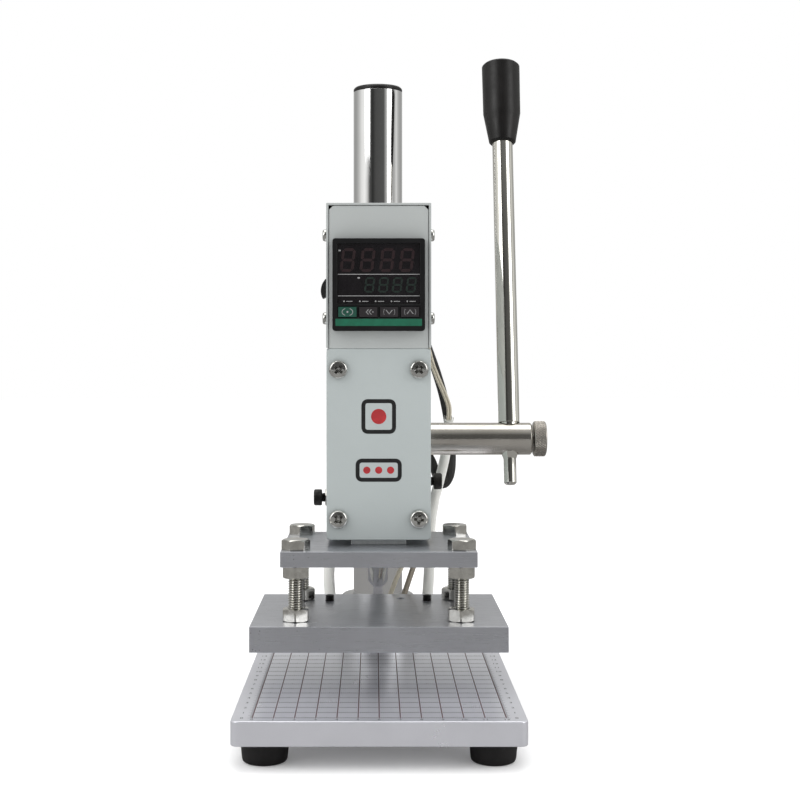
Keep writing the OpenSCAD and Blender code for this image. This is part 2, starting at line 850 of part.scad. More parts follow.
// Front or rear panel, with its upper corners cut off; it starts at the given depth
module panel(y0) {
    h = panel_z1 - box_z0;
    translate([0, y0 + panel_t, box_z0])
        rotate([90, 0, 0])
            linear_extrude(panel_t)
                polygon([[-inner_x, 0], [inner_x, 0], [inner_x, h - panel_chamfer],
                         [inner_x - panel_chamfer, h], [panel_chamfer - inner_x, h],
                         [-inner_x, h - panel_chamfer]]);
}

module box_chassis() {
    tab_z = [box_z0, panel_z1 - panel_chamfer];
    color([0.72, 0.73, 0.72])
    difference() {
        union() {
            block([-inner_x, panel_y, box_z0], [inner_x, rear_y, box_z0 + panel_t]);
            panel(panel_y);
            panel(rear_y - panel_t);
            for (side = [-1, 1], y = [panel_y, rear_y - panel_t - tab_len])
                translate([side > 0 ? inner_x - panel_t : -inner_x, y, tab_z[0]])
                    cube([panel_t, tab_len + panel_t, tab_z[1] - tab_z[0]]);
        }
        cut = case_w + 2 * cutout_gap;
        block([-cut / 2, panel_y - eps, bezel_mid_z - cut / 2],
              [cut / 2, panel_y + panel_t + eps, bezel_mid_z + cut / 2]);
        along_y([gland_x, rear_y - panel_t - eps, box_z0 + gland_lift], gland_d + 2 * seat_fit,
                panel_t + 2 * eps);
        for (i = [0 : len(grommet_lifts) - 1])
            along_y([grommet_x, rear_y - panel_t - eps, box_z0 + grommet_lifts[i]],
                    grommet_bores[i] + 2 * grommet_wall + 2 * seat_fit, panel_t + 2 * eps);
        for (p = box_screw_places)
            along_x([p[0] * box_w / 2 - box_w / 4, p[1], p[2]], box_screw_d + 2 * seat_fit, box_w / 2);
        for (p = chassis_screw_places)
            translate([p[0], p[1], box_z0 - eps])
                cylinder(h = panel_t + 2 * eps, d = chassis_screw_d + 2 * hole_fit);
    }
}

module box_cover() {
    z0 = box_z0 + cover_lift;
    color([0.74, 0.75, 0.74])
    difference() {
        block([-box_w / 2, box_y0, z0], [box_w / 2, box_y1, box_z1]);
        block([sheet_t - box_w / 2, box_y0 - eps, z0 - eps],
              [box_w / 2 - sheet_t, box_y1 + eps, box_z1 - sheet_t]);
        along_x([switch_x - eps, switch_y, switch_place[2]], switch_body_d + 2 * hole_fit,
                sheet_t + 2 * eps);
        for (p = box_screw_places)
            along_x([p[0] * box_w / 2 - box_w / 4, p[1], p[2]], box_screw_d + 2 * hole_fit, box_w / 2);
    }
}

module box_screws() {
    color([0.85, 0.85, 0.83])
    for (p = box_screw_places)
        translate([p[0] * box_w / 2, p[1], p[2]]) rotate([0, 90 * p[0], 0]) {
            pan_head(box_screw_head_d, box_screw_head_h);
            translate([0, 0, -box_screw_len]) cylinder(h = box_screw_len, d = box_screw_d);
        }
}

module chassis_screws() {
    color([0.85, 0.85, 0.83])
    for (p = chassis_screw_places)
        translate([p[0], p[1], box_z0 + panel_t]) {
            pan_head(chassis_screw_head_d, chassis_screw_head_h);
            translate([0, 0, -panel_t - chassis_screw_bite])
                cylinder(h = panel_t + chassis_screw_bite, d = chassis_screw_d);
        }
}

module cable_gland() {
    dome_h = gland_out - gland_nut_h;
    color([0.1, 0.1, 0.1])
    translate([gland_x, rear_y, box_z0 + gland_lift]) rotate([-90, 0, 0])
        difference() {
            union() {
                hex_body(gland_af, gland_nut_h);
                translate([0, 0, gland_nut_h]) cylinder(h = dome_h, d1 = gland_dome_d0, d2 = gland_dome_d1);
                translate([0, 0, -gland_in]) cylinder(h = gland_in, d = gland_d);
                translate([0, 0, -panel_t - gland_nut_h]) hex_body(gland_af, gland_nut_h);
            }
            translate([0, 0, -gland_in - eps])
                cylinder(h = gland_in + gland_out + 2 * eps, d = gland_bore_d);
        }
}

module lead_grommets() {
    color([0.1, 0.1, 0.1])
    for (i = [0 : len(grommet_lifts) - 1])
        translate([grommet_x, rear_y - panel_t, box_z0 + grommet_lifts[i]]) rotate([-90, 0, 0]) {
            bore_r = grommet_bores[i] / 2;
            neck_r = bore_r + grommet_wall;
            lip_r = neck_r + grommet_lip;
            rotate_extrude()
                polygon([[bore_r, -grommet_lip], [lip_r, -grommet_lip], [lip_r, 0], [neck_r, 0],
                         [neck_r, panel_t], [lip_r, panel_t], [lip_r, panel_t + grommet_lip],
                         [bore_r, panel_t + grommet_lip]]);
        }
}

key_mid_z = bezel_z0 + key_lift + key_h / 2;
window_z0 = bezel_z0 + window_lift;
function key_x(i) = (i - 1.5) * key_pitch;

module controller_bezel() {
    inner = case_w + 2 * case_fit;
    color([0.07, 0.07, 0.08])
    difference() {
        translate([0, panel_y, bezel_mid_z])
            rotate([90, 0, 0]) linear_extrude(bezel_t) round_rect(bezel_w, bezel_w, bezel_corner_r);
        block([-inner / 2, bezel_y0 + bezel_front, bezel_mid_z - inner / 2],
              [inner / 2, panel_y + eps, bezel_mid_z + inner / 2]);
        block([-window_w / 2, bezel_y0 - eps, window_z0],
              [window_w / 2, bezel_y0 + bezel_front + eps, window_z0 + window_h]);
        for (i = [0 : 3])
            block([key_x(i) - key_w / 2 - key_gap, bezel_y0 - eps, key_mid_z - key_h / 2 - key_gap],
                  [key_x(i) + key_w / 2 + key_gap, bezel_y0 + bezel_front + eps,
                   key_mid_z + key_h / 2 + key_gap]);
    }
}

module controller_case() {
    inner = case_w - 2 * case_wall;
    color([0.1, 0.1, 0.1])
    difference() {
        block([-case_w / 2, panel_y - case_lap, bezel_mid_z - case_w / 2],
              [case_w / 2, panel_y + case_len, bezel_mid_z + case_w / 2]);
        block([-inner / 2, panel_y - case_lap - eps, bezel_mid_z - inner / 2],
              [inner / 2, panel_y + case_len + eps, bezel_mid_z + inner / 2]);
    }
}

module display_window() {
    y0 = bezel_y0 + bezel_front;
    color([0.05, 0.02, 0.02])
        block([-window_w / 2 - window_lap, y0, window_z0 - window_lap],
              [window_w / 2 + window_lap, panel_y - case_lap, window_z0 + window_h + window_lap]);
}

module circuit_boards() {
    y0 = panel_y + board_back;
    z0 = bezel_mid_z - board_w / 2;
    inner = case_w / 2 - case_wall;
    color([0.1, 0.35, 0.2]) {
        block([-board_w / 2, y0, z0], [board_w / 2, y0 + board_t, z0 + board_w]);
        for (s = display_sizes)
            translate([s[3], y0, bezel_z0 + s[2]])
                block([-s[0] / 2, -display_h, 0], [s[0] / 2, 0, s[1]]);
        for (i = [0 : 3])
            translate([key_x(i), y0, key_mid_z])
                block([-key_switch_w / 2, -switch_stack, -key_switch_w / 2],
                      [key_switch_w / 2, 0, key_switch_w / 2]);
        block([main_board_x, y0 + board_t, z0], [main_board_x + board_t, y0 + main_board_len, z0 + board_w]);
        translate([main_board_x + board_t, y0 + main_board_len / 2, z0 + board_w / 4])
            cube(relay_size);
    }
}

module terminal_block() {
    y0 = panel_y + case_len;
    color([0.12, 0.12, 0.12])
    difference() {
        block([-terminal_w / 2, y0 - case_lap, bezel_mid_z - terminal_w / 2],
              [terminal_w / 2, y0 + terminal_t, bezel_mid_z + terminal_w / 2]);
        for (i = [0 : terminal_cols - 1], k = [0 : terminal_rows - 1])
            along_y([(i - (terminal_cols - 1) / 2) * terminal_pitch, y0 + terminal_t / 2,
                     bezel_mid_z + (k - (terminal_rows - 1) / 2) * terminal_row_pitch],
                    terminal_screw_d, terminal_t);
    }
}

module key(i) {
    y0 = bezel_y0 - key_proud;
    flange_y = bezel_y0 + bezel_front + key_back_gap;
    stem_end = panel_y + board_back - switch_stack - key_travel - key_back_gap;
    color([0.25, 0.25, 0.27])
    translate([key_x(i), 0, key_mid_z]) {
        block([-key_w / 2, y0, -key_h / 2], [key_w / 2, flange_y, key_h / 2]);
        block([-key_w / 2, flange_y, -key_h / 2 - key_flange],
              [key_w / 2, flange_y + key_flange_t, key_h / 2 + key_flange]);
        block([-key_stem_w / 2, flange_y + key_flange_t, -key_stem_w / 2],
              [key_stem_w / 2, stem_end, key_stem_w / 2]);
    }
}

module switch_housing() {
    color([0.08, 0.08, 0.08])
    translate(switch_place)
        difference() {
            union() {
                rotate([0, -90, 0]) cylinder(h = switch_rim, d = switch_d);
                rotate([0, 90, 0]) cylinder(h = switch_body_len, d = switch_body_d);
            }
            block([-switch_rim - eps, -rocker_w / 2 - rocker_side_gap, -rocker_window_h / 2],
                  [rocker_window_depth, rocker_w / 2 + rocker_side_gap, rocker_window_h / 2]);
        }
}

module rocker() {
    reach = 2 * rocker_r;
    color([0.06, 0.06, 0.06])
    translate([rocker_x, switch_y + rocker_w / 2, switch_place[2]])
        rotate([90, 0, 0])
            linear_extrude(rocker_w)
                rotate(180 - rocker_tilt) {
                    circle(rocker_hub_r);
                    intersection() {
                        circle(rocker_r);
                        polygon([[0, 0],
                                 [reach * cos(rocker_half_angle), reach * sin(rocker_half_angle)],
                                 [reach * cos(rocker_half_angle), -reach * sin(rocker_half_angle)]]);
                    }
                }
}

// ---------------------------------------------------------------- ram and plates

bolt_places = [for (x = [-1, 1], y = [-1, 1])
    [x * bolt_span_x / 2, press_y + y * bolt_span_y / 2]];
ram_screw_places = [for (x = [-1, 1], y = [-1, 1])
    [x * ram_screw_span_x / 2, press_y + y * ram_screw_span_y / 2]];
rack_screw_heights = [rack_z0 + rack_screw_inset, rack_z1 - rack_screw_inset];

module ram() {
    color([0.78, 0.8, 0.82])
    difference() {
        block([-ram_w / 2, ram_y0, upper_z1], [ram_w / 2, ram_y1, upper_z1 + ram_len]);
        translate([0, spring_y, upper_z1 + spring_floor])
            cylinder(h = ram_len, d = spring_bore_d);
        along_x([-ram_w / 2 - eps, spring_y, spring_pin_z0], spring_pin_d + 2 * seat_fit,
                ram_w + 2 * eps);
        for (z = rack_screw_heights)
            along_y([0, ram_y1 - rack_screw_depth - hole_extra, z], rack_screw_d + 2 * seat_fit,
                    rack_screw_depth + hole_extra + eps);
        for (p = ram_screw_places)
            translate([p[0], p[1], upper_z1 - eps])
                cylinder(h = ram_screw_bite + hole_extra + eps, d = ram_screw_d + 2 * seat_fit);
    }
}

module rack() {
    half_tooth = tooth_pitch / 4 - backlash / 2;
    slope = tan(pressure_angle);
    teeth_below = floor(rack_below / tooth_pitch);
    teeth_above = floor(rack_above / tooth_pitch);
    // The pinion's tooth points at a gap, so the teeth stand half a pitch off the pinion's height
    profile = [for (i = [-teeth_below : teeth_above - 1])
        let (z = pinion_z + (i + 0.5) * tooth_pitch)
        each [[-rack_dedendum, z - half_tooth - rack_dedendum * slope],
              [rack_addendum, z - half_tooth + rack_addendum * slope],
              [rack_addendum, z + half_tooth - rack_addendum * slope],
              [-rack_dedendum, z + half_tooth + rack_dedendum * slope]]];
    color([0.6, 0.6, 0.6])
    difference() {
        translate([-tooth_w / 2, 0, 0])
            rotate([90, 0, 90])
                linear_extrude(tooth_w)
                    polygon(concat([[ram_y1, rack_z0], [pitch_y - rack_dedendum, rack_z0]],
                        [for (p = profile) [pitch_y + p[0], p[1]]],
                        [[pitch_y - rack_dedendum, rack_z1], [ram_y1, rack_z1]]));
        for (z = rack_screw_heights) {
            along_y([0, ram_y1 - eps, z], rack_screw_d + 2 * hole_fit, rack_pitch_h + eps);
            along_y([0, ram_y1 + rack_web, z], rack_screw_head_d + 2 * hole_fit, rack_pitch_h);
        }
    }
}

module rack_screws() {
    color([0.2, 0.2, 0.2])
    for (z = rack_screw_heights)
        translate([0, ram_y1 + rack_web, z]) {
            rotate([-90, 0, 0]) socket_head(rack_screw_head_d, rack_screw_head_h);
            rotate([90, 0, 0]) cylinder(h = rack_web + rack_screw_depth, d = rack_screw_d);
        }
}

module spring_pin_lower() {
    color([0.7, 0.7, 0.7])
        along_x([-ram_w / 2 + pin_inset, spring_y, spring_pin_z0], spring_pin_d, ram_w - 2 * pin_inset);
}

module upper_plate() {
    color([0.55, 0.56, 0.62])
    difference() {
        translate([-upper_w / 2, press_y - upper_d / 2, upper_z0]) cube([upper_w, upper_d, upper_t]);
        for (p = bolt_places)
            translate([p[0], p[1], upper_z0 - eps])
                cylinder(h = upper_t + 2 * eps, d = bolt_d + 2 * hole_fit);
        for (p = ram_screw_places) {
            translate([p[0], p[1], upper_z0 - eps])
                cylinder(h = upper_t + 2 * eps, d = ram_screw_d + 2 * hole_fit);
            translate([p[0], p[1], upper_z0 - eps])
                cylinder(h = ram_screw_head_h + eps, d = ram_screw_head_d + 2 * hole_fit);
        }
    }
}

module ram_screws() {
    color([0.2, 0.2, 0.2])
    for (p = ram_screw_places)
        translate([p[0], p[1], upper_z0 + ram_screw_head_h]) {
            rotate([180, 0, 0]) socket_head(ram_screw_head_d, ram_screw_head_h);
            cylinder(h = upper_t - ram_screw_head_h + ram_screw_bite, d = ram_screw_d);
        }
}

module levelling_bolts() {
    color([0.8, 0.8, 0.78])
    for (i = [0 : 3])
        translate([bolt_places[i][0], bolt_places[i][1], 0]) {
            translate([0, 0, upper_z1]) rotate([0, 0, hex_turns[i]]) hex_body(bolt_af, bolt_head_h);
            translate([0, 0, hot_z1 - bolt_bite]) cylinder(h = upper_z1 - hot_z1 + bolt_bite, d = bolt_d);
        }
}

module levelling_nuts() {
    color([0.8, 0.8, 0.78])
    for (i = [0 : 3], z = [hot_z1, upper_z0 - nut_h])
        translate([bolt_places[i][0], bolt_places[i][1], z])
            difference() {
                rotate([0, 0, hex_turns[3 - i]]) hex_body(bolt_af, nut_h, both = true);
                translate([0, 0, -eps]) cylinder(h = nut_h + 2 * eps, d = bolt_d + 2 * seat_fit);
            }
}

hot_y1 = press_y + hot_d / 2;
heater_z = hot_z0 + hot_t / 2;
lead_bore_fit = 0.1;

module heating_plate() {
    color([0.5, 0.51, 0.56])
    difference() {
        translate([-hot_w / 2, hot_y1 - hot_d, hot_z0]) cube([hot_w, hot_d, hot_t]);
        for (x = [-1, 1]) {
            along_y([x * heater_x, hot_y1 - heater_len - hole_extra, heater_z], heater_d + 2 * run_fit,
                    heater_len + hole_extra + eps);
            translate([x * heater_x, hot_y1 - grub_inset, heater_z])
                cylinder(h = hot_t, d = grub_d + 2 * seat_fit);
        }
        for (p = bolt_places)
            translate([p[0], p[1], hot_z1 - bolt_bite - bolt_hole_floor])
                cylinder(h = bolt_bite + bolt_hole_floor + eps, d = bolt_d + 2 * seat_fit);
        translate([spare_hole_x, hot_y1 - spare_hole_inset, hot_z1 - spare_hole_depth])
            cylinder(h = spare_hole_depth + eps, d = spare_hole_d);
        along_y([probe_x, hot_y1 - lead_hole_depth, heater_z], wire_d + 2 * lead_bore_fit,
                lead_hole_depth + eps);
        along_y([earth_x, hot_y1 - lead_hole_depth, heater_z], earth_d + 2 * lead_bore_fit,
                lead_hole_depth + eps);
    }
}

module cartridge_heaters() {
    color([0.7, 0.7, 0.68])
    for (x = [-1, 1])
        along_y([x * heater_x, hot_y1 - heater_len, heater_z], heater_d, heater_len);
}

module heater_screws() {
    z0 = heater_z + heater_d / 2 + seat_fit;
    color([0.08, 0.08, 0.08])
    for (x = [-1, 1])
        translate([x * heater_x, hot_y1 - grub_inset, z0])
            socket_head(grub_d, hot_z1 + grub_proud - z0);
}

// ---------------------------------------------------------------- pinion and lever

// One flank point of the involute: its radius and the angle it has turned through, in degrees
function flank_r(a) = base_circle_r / cos(a);
function flank_turn(a) = tan(a) * 180 / PI - a;
function polar(r, a) = [r * cos(a), r * sin(a)];

module pinion_teeth_shape() {
    tip_angle = acos(base_circle_r / tip_r);
    half_pitch_turn = (tooth_pitch - 2 * backlash) / 4 / pitch_r * 180 / PI;
    half_base_turn = half_pitch_turn + flank_turn(pressure_angle);
    polygon([for (i = [0 : pinion_teeth - 1])
        let (mid = 360 * i / pinion_teeth)
        each concat(
            [polar(root_r, mid - half_base_turn)],
            [for (k = [0 : flank_steps]) let (a = tip_angle * k / flank_steps)
                polar(flank_r(a), mid - half_base_turn + flank_turn(a))],
            [for (k = [flank_steps : -1 : 0]) let (a = tip_angle * k / flank_steps)
                polar(flank_r(a), mid + half_base_turn - flank_turn(a))],
            [polar(root_r, mid + half_base_turn)])]);
}

module pinion_gear() {
    hub_x = tooth_w / 2;
    color([0.62, 0.62, 0.6])
    difference() {
        union() {
            translate([-tooth_w / 2, pinion_y, pinion_z])
                rotate([90, 0, 90]) linear_extrude(tooth_w) pinion_teeth_shape();
            along_x([hub_x, pinion_y, pinion_z], hub_d, hub_len);
        }
        along_x([-tooth_w, pinion_y, pinion_z], journal_d + 2 * seat_fit, 3 * tooth_w);
        translate([hub_x + hub_len / 2, pinion_y, pinion_z - hub_d])
            cylinder(h = 2 * hub_d, d = gear_pin_d + 2 * seat_fit);
    }
}

module gear_pin() {
    len = hub_d - 2 * pin_inset;
    color([0.5, 0.5, 0.5])
        translate([tooth_w / 2 + hub_len / 2, pinion_y, pinion_z - len / 2])
            cylinder(h = len, d = gear_pin_d);
}

shaft_inset = 0.8;
shaft_x0 = shaft_inset - head_w / 2;
ring_x = ring_recess - head_w / 2 - ring_t - ring_side_gap;

module pinion_shaft() {
    shoulder_x = head_w / 2 + shaft_gap;
    chamfer = 0.8;
    color([0.75, 0.74, 0.7])
    difference() {
        union() {
            along_x([shaft_x0, pinion_y, pinion_z], journal_d, shoulder_x - shaft_x0);
            along_x([shoulder_x, pinion_y, pinion_z], shaft_d, shaft_end_x - chamfer - shoulder_x);
            translate([shaft_end_x - chamfer, pinion_y, pinion_z]) rotate([0, 90, 0])
                cylinder(h = chamfer, d1 = shaft_d, d2 = shaft_d - 2 * chamfer);
        }
        // Groove of the retaining ring
        translate([ring_x - ring_side_gap, pinion_y, pinion_z]) rotate([0, 90, 0])
            difference() {
                cylinder(h = ring_t + 2 * ring_side_gap, d = journal_d + 2 * eps);
                translate([0, 0, -eps])
                    cylinder(h = ring_t + 2 * (ring_side_gap + eps), d = journal_d - 2 * ring_groove);
            }
        // Hole of the gear's pin
        translate([tooth_w / 2 + hub_len / 2, pinion_y, pinion_z - shaft_d])
            cylinder(h = 2 * shaft_d, d = gear_pin_d + 2 * seat_fit);
        // Hole of the lever rod, and the thread of its clamping screw
        translate([lever_x, pinion_y, pinion_z]) rotate([-lever_lean, 0, 0])
            translate([0, 0, -shaft_d]) cylinder(h = 2 * shaft_d, d = rod_neck_d + 2 * run_fit);
        along_x([lever_x, pinion_y, pinion_z], clamp_screw_d + 2 * seat_fit, shaft_end_x);
    }
}

module retaining_ring() {
    color([0.3, 0.3, 0.3])
    translate([ring_x, pinion_y, pinion_z]) rotate([0, 90, 0])
        difference() {
            cylinder(h = ring_t, d = ring_d);
            translate([0, 0, -eps])
                cylinder(h = ring_t + 2 * eps, d = journal_d - 2 * ring_groove + 2 * seat_fit);
            translate([0, -ring_gap_w / 2, -eps]) cube([ring_d, ring_gap_w, ring_t + 2 * eps]);
        }
}

// Places its children on the shaft axis, with +Z along the lever rod
module on_lever() {
    translate([lever_x, pinion_y, pinion_z]) rotate([-lever_lean, 0, 0]) children();
}

module lever_rod() {
    tip_chamfer = 1;
    rod_top = grip_start + grip_bore_depth;
    color([0.9, 0.9, 0.9])
    on_lever()
        rotate_extrude()
            polygon([[0, -stub_len], [stub_d / 2 - tip_chamfer, -stub_len],
                     [stub_d / 2, tip_chamfer - stub_len], [stub_d / 2, -cone_start - cone_len],
                     [rod_neck_d / 2, -cone_start], [rod_neck_d / 2, rod_shoulder],
                     [rod_d / 2, rod_shoulder], [rod_d / 2, rod_top], [0, rod_top]]);
}

module lever_grip() {
    bore_r = rod_d / 2 + seat_fit;
    crown = 1.2;
    color([0.08, 0.08, 0.08])
    on_lever()
        translate([0, 0, grip_start])
            rotate_extrude()
                polygon([[bore_r, 0], [grip_tip_d / 2 - grip_lip, 0], [grip_tip_d / 2, grip_lip],
                         [grip_mid_d / 2, grip_mid], [grip_d / 2, grip_len - 3 * grip_lip],
                         [grip_d / 2, grip_len - 2 * grip_lip],
                         [grip_d / 2 - grip_lip, grip_len - grip_lip],
                         [grip_d / 4, grip_len - 0.2], [0, grip_len],
                         [0, grip_bore_depth + crown], [bore_r, grip_bore_depth + crown]]);
}

module clamp_knob() {
    rim = 0.8;
    color([0.85, 0.85, 0.85])
    translate([shaft_end_x + knob_gap, pinion_y, pinion_z]) rotate([0, 90, 0])
        difference() {
            union() {
                cylinder(h = knob_t, d = knob_d - 4 * knob_tooth_h);
                translate([0, 0, rim])
                    linear_extrude(knob_t - 2 * rim)
                        polygon([for (i = [0 : 2 * knob_teeth - 1])
                            polar(knob_d / 2 - (i % 2) * knob_tooth_h, 180 * i / knob_teeth)]);
            }
            translate([0, 0, -eps]) cylinder(h = knob_t + 2 * eps, d = clamp_screw_d + 2 * seat_fit);
        }
}

module clamp_screw() {
    tip_x = lever_x + rod_neck_d / 2 + clamp_tip_gap;
    end_x = shaft_end_x + knob_gap + knob_t - clamp_screw_inset;
    color([0.7, 0.7, 0.7])
        along_x([tip_x, pinion_y, pinion_z], clamp_screw_d, end_x - tip_x);
}

// ---------------------------------------------------------------- spring and leads

module return_spring() {
    r = (spring_d - spring_wire_d) / 2;
    z0 = spring_pin_z0 + hook_r + spring_hook_len;
    z1 = spring_pin_z1 - hook_r - spring_hook_len;
    steps = spring_turns * spring_ring_steps;
    coil = [for (i = [0 : steps])
        let (a = 360 * i / spring_ring_steps)
        [r * cos(a), r * sin(a), z0 + (z1 - z0) * i / steps]];
    color([0.7, 0.7, 0.72])
        translate([0, spring_y, 0])
            swept_tube(coil, spring_wire_d, spring_sides);
}

module heater_sleeves() {
    color([0.93, 0.94, 0.92]) {
        swept_tube(left_sleeve_points, sleeve_d);
        swept_tube(right_sleeve_points, sleeve_d);
    }
}

module heater_wire() {
    color([0.9, 0.88, 0.75]) swept_tube(right_wire_points, wire_d);
}

module thermocouple_lead() {
    color([0.85, 0.84, 0.75]) swept_tube(probe_points, wire_d);
}

module earth_lead() {
    color([0.6, 0.55, 0.45]) swept_tube(earth_points, earth_d);
}

module sheathed_lead() {
    color([0.12, 0.12, 0.12]) swept_tube(sheath_points, sheath_d);
}

// ---------------------------------------------------------------- assembly

base_plate();
rubber_feet();
foot_screws();
column_seat();
seat_screws();
column_tube();
column_cap();
column_plug();
column_bolt();
head_body();
front_cover();
pan_screws();
guide_strip();
pinion_bushes();
lock_screws();
lock_nuts();
spring_pin_upper();
lead_clip();
box_chassis();
box_cover();
box_screws();
chassis_screws();
cable_gland();
lead_grommets();
controller_bezel();
controller_case();
display_window();
circuit_boards();
terminal_block();
key(0);  // key_1
key(1);  // key_2
key(2);  // key_3
key(3);  // key_4
switch_housing();
rocker();
ram();
rack();
rack_screws();
spring_pin_lower();
upper_plate();
ram_screws();
levelling_bolts();
levelling_nuts();
heating_plate();
cartridge_heaters();
heater_screws();
pinion_shaft();
pinion_gear();
gear_pin();
retaining_ring();
lever_rod();
lever_grip();
clamp_knob();
clamp_screw();
return_spring();
heater_sleeves();
heater_wire();
thermocouple_lead();
earth_lead();
sheathed_lead();
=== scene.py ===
import math
import random

import bpy
from mathutils import Matrix, Vector


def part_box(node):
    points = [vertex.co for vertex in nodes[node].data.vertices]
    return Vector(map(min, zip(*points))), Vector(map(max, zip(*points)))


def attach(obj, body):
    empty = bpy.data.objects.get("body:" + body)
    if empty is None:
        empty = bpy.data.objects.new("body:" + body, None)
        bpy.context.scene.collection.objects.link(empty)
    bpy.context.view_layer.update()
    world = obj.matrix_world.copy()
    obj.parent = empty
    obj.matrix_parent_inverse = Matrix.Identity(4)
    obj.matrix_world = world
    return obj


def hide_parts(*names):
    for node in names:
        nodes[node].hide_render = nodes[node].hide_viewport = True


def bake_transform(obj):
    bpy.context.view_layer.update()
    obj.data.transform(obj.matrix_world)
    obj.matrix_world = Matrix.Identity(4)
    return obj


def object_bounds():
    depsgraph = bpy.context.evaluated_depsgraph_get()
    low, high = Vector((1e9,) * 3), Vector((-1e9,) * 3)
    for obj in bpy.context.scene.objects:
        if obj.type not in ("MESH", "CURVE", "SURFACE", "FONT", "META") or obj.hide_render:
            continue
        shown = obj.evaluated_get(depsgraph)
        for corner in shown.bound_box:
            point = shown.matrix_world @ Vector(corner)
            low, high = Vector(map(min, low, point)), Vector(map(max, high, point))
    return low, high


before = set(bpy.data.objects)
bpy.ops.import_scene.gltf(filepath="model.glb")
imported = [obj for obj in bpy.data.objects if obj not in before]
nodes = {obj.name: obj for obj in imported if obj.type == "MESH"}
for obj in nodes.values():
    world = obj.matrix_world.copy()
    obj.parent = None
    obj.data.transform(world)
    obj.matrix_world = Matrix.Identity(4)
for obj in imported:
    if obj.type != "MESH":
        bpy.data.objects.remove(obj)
cad_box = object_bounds()
MM = 0.001


# ------------------------------------------------------------------ geometry

def corner(node):
    """Lowest and highest corner of a CAD node, in millimetres."""
    low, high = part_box(node)
    return low / MM, high / MM


def at(origin, axis=(0, 0, 1), turn=0.0):
    """Place whose local z runs along axis, turned about it by turn degrees."""
    spin = Matrix.Rotation(math.radians(turn), 4, "Z")
    lean = Vector(axis).to_track_quat("Z", "Y").to_matrix().to_4x4()
    return Matrix.Translation(Vector(origin)) @ lean @ spin


def unit_circle(n):
    return [(math.cos(2 * math.pi * i / n), math.sin(2 * math.pi * i / n)) for i in range(n)]


class Shape:
    """Vertices, faces and texture coordinates of one piece, in millimetres."""

    def __init__(self):
        self.verts = []
        self.faces = []
        self.uvs = []

    def add(self, verts, faces, uvs=None):
        start = len(self.verts)
        self.verts += [Vector(v) for v in verts]
        self.faces += [[start + i for i in face] for face in faces]
        self.uvs += uvs if uvs else [[(0.0, 0.0)] * len(face) for face in faces]
        return self

    def turned(self, rings, place, n=48):
        """Body of rings (z, radius) about local z; a radius may be a function of the angle."""
        verts, faces, rows = [], [], []
        for z, radius in rings:
            if not callable(radius) and radius == 0:
                rows.append([len(verts)] * n)
                verts.append(place @ Vector((0, 0, z)))
                continue
            row = []
            for i, (c, s) in enumerate(unit_circle(n)):
                r = radius(2 * math.pi * i / n) if callable(radius) else radius
                row.append(len(verts))
                verts.append(place @ Vector((r * c, r * s, z)))
            rows.append(row)
        for low, high in zip(rows, rows[1:]):
            for i in range(n):
                j = (i + 1) % n
                face = [low[i], low[j], high[j], high[i]]
                if low[i] == low[j]:
                    face = [low[i], high[j], high[i]]
                elif high[i] == high[j]:
                    face = [low[i], low[j], high[i]]
                faces.append(face)
        return self.add(verts, faces)

    def tube(self, path, radius, n=12, squeeze=1.0):
        """Tube along a path; squeeze flattens its section, and radius may be a function of the length."""
        path = [Vector(p) for p in path]
        runs = [0.0]
        for a, b in zip(path, path[1:]):
            runs.append(runs[-1] + (b - a).length)
        verts, faces, uvs = [], [], []
        side = None
        for k, p in enumerate(path):
            ahead = (path[min(k + 1, len(path) - 1)] - path[max(k - 1, 0)]).normalized()
            if side is None:
                side = ahead.orthogonal().normalized()
            side = (side - ahead * side.dot(ahead)).normalized()
            up = ahead.cross(side)
            r = radius(runs[k] / runs[-1]) if callable(radius) else radius
            for c, s in unit_circle(n):
                verts.append(p + side * (c * r) + up * (s * r * squeeze))
        for k in range(len(path) - 1):
            for i in range(n):
                j = (i + 1) % n
                faces.append([k * n + i, k * n + j, (k + 1) * n + j, (k + 1) * n + i])
                u, v = i / n, (i + 1) / n
                uvs.append([(u, runs[k]), (v, runs[k]), (v, runs[k + 1]), (u, runs[k + 1])])
        last = (len(path) - 1) * n
        faces.append(list(reversed(range(n))))
        faces.append([last + i for i in range(n)])
        uvs += [[(0.0, 0.0)] * n, [(0.0, runs[-1])] * n]
        return self.add(verts, faces, uvs)

    def flat(self, outline, lift):
        """One face from points (x, z) on the front plane y = lift."""
        return self.add([(x, lift, z) for x, z in outline], [list(range(len(outline)))])

    def band(self, path, width, lift, closed=True):
        """Stroke of one width along a path of points (x, z) on the front plane y = lift."""
        n = len(path)
        inner, outer = [], []
        for i, p in enumerate(path):
            before = path[i - 1] if closed or i > 0 else p
            after = path[(i + 1) % n] if closed or i < n - 1 else p
            along = (Vector(after) - Vector(before)).normalized()
            side = Vector((along.y, -along.x))
            outer.append(Vector(p) + side * width / 2)
            inner.append(Vector(p) - side * width / 2)
        verts = [(p.x, lift, p.y) for p in outer + inner]
        count = n if closed else n - 1
        faces = [[i, (i + 1) % n, n + (i + 1) % n, n + i] for i in range(count)]
        return self.add(verts, faces)


def smooth(points, step=1.2):
    """Rounded route through the points, with a point about every step millimetres."""
    pts = [Vector(p) for p in points]
    pts = [2 * pts[0] - pts[1]] + pts + [2 * pts[-1] - pts[-2]]
    out = []
    for i in range(1, len(pts) - 2):
        a, b, c, d = pts[i - 1:i + 3]
        count = max(2, round((c - b).length / step))
        for k in range(count):
            t = k / count
            out.append(0.5 * (2 * b + (c - a) * t + (2 * a - 5 * b + 4 * c - d) * t * t
                              + (3 * b - a - 3 * c + d) * t ** 3))
    return out + [pts[-2]]


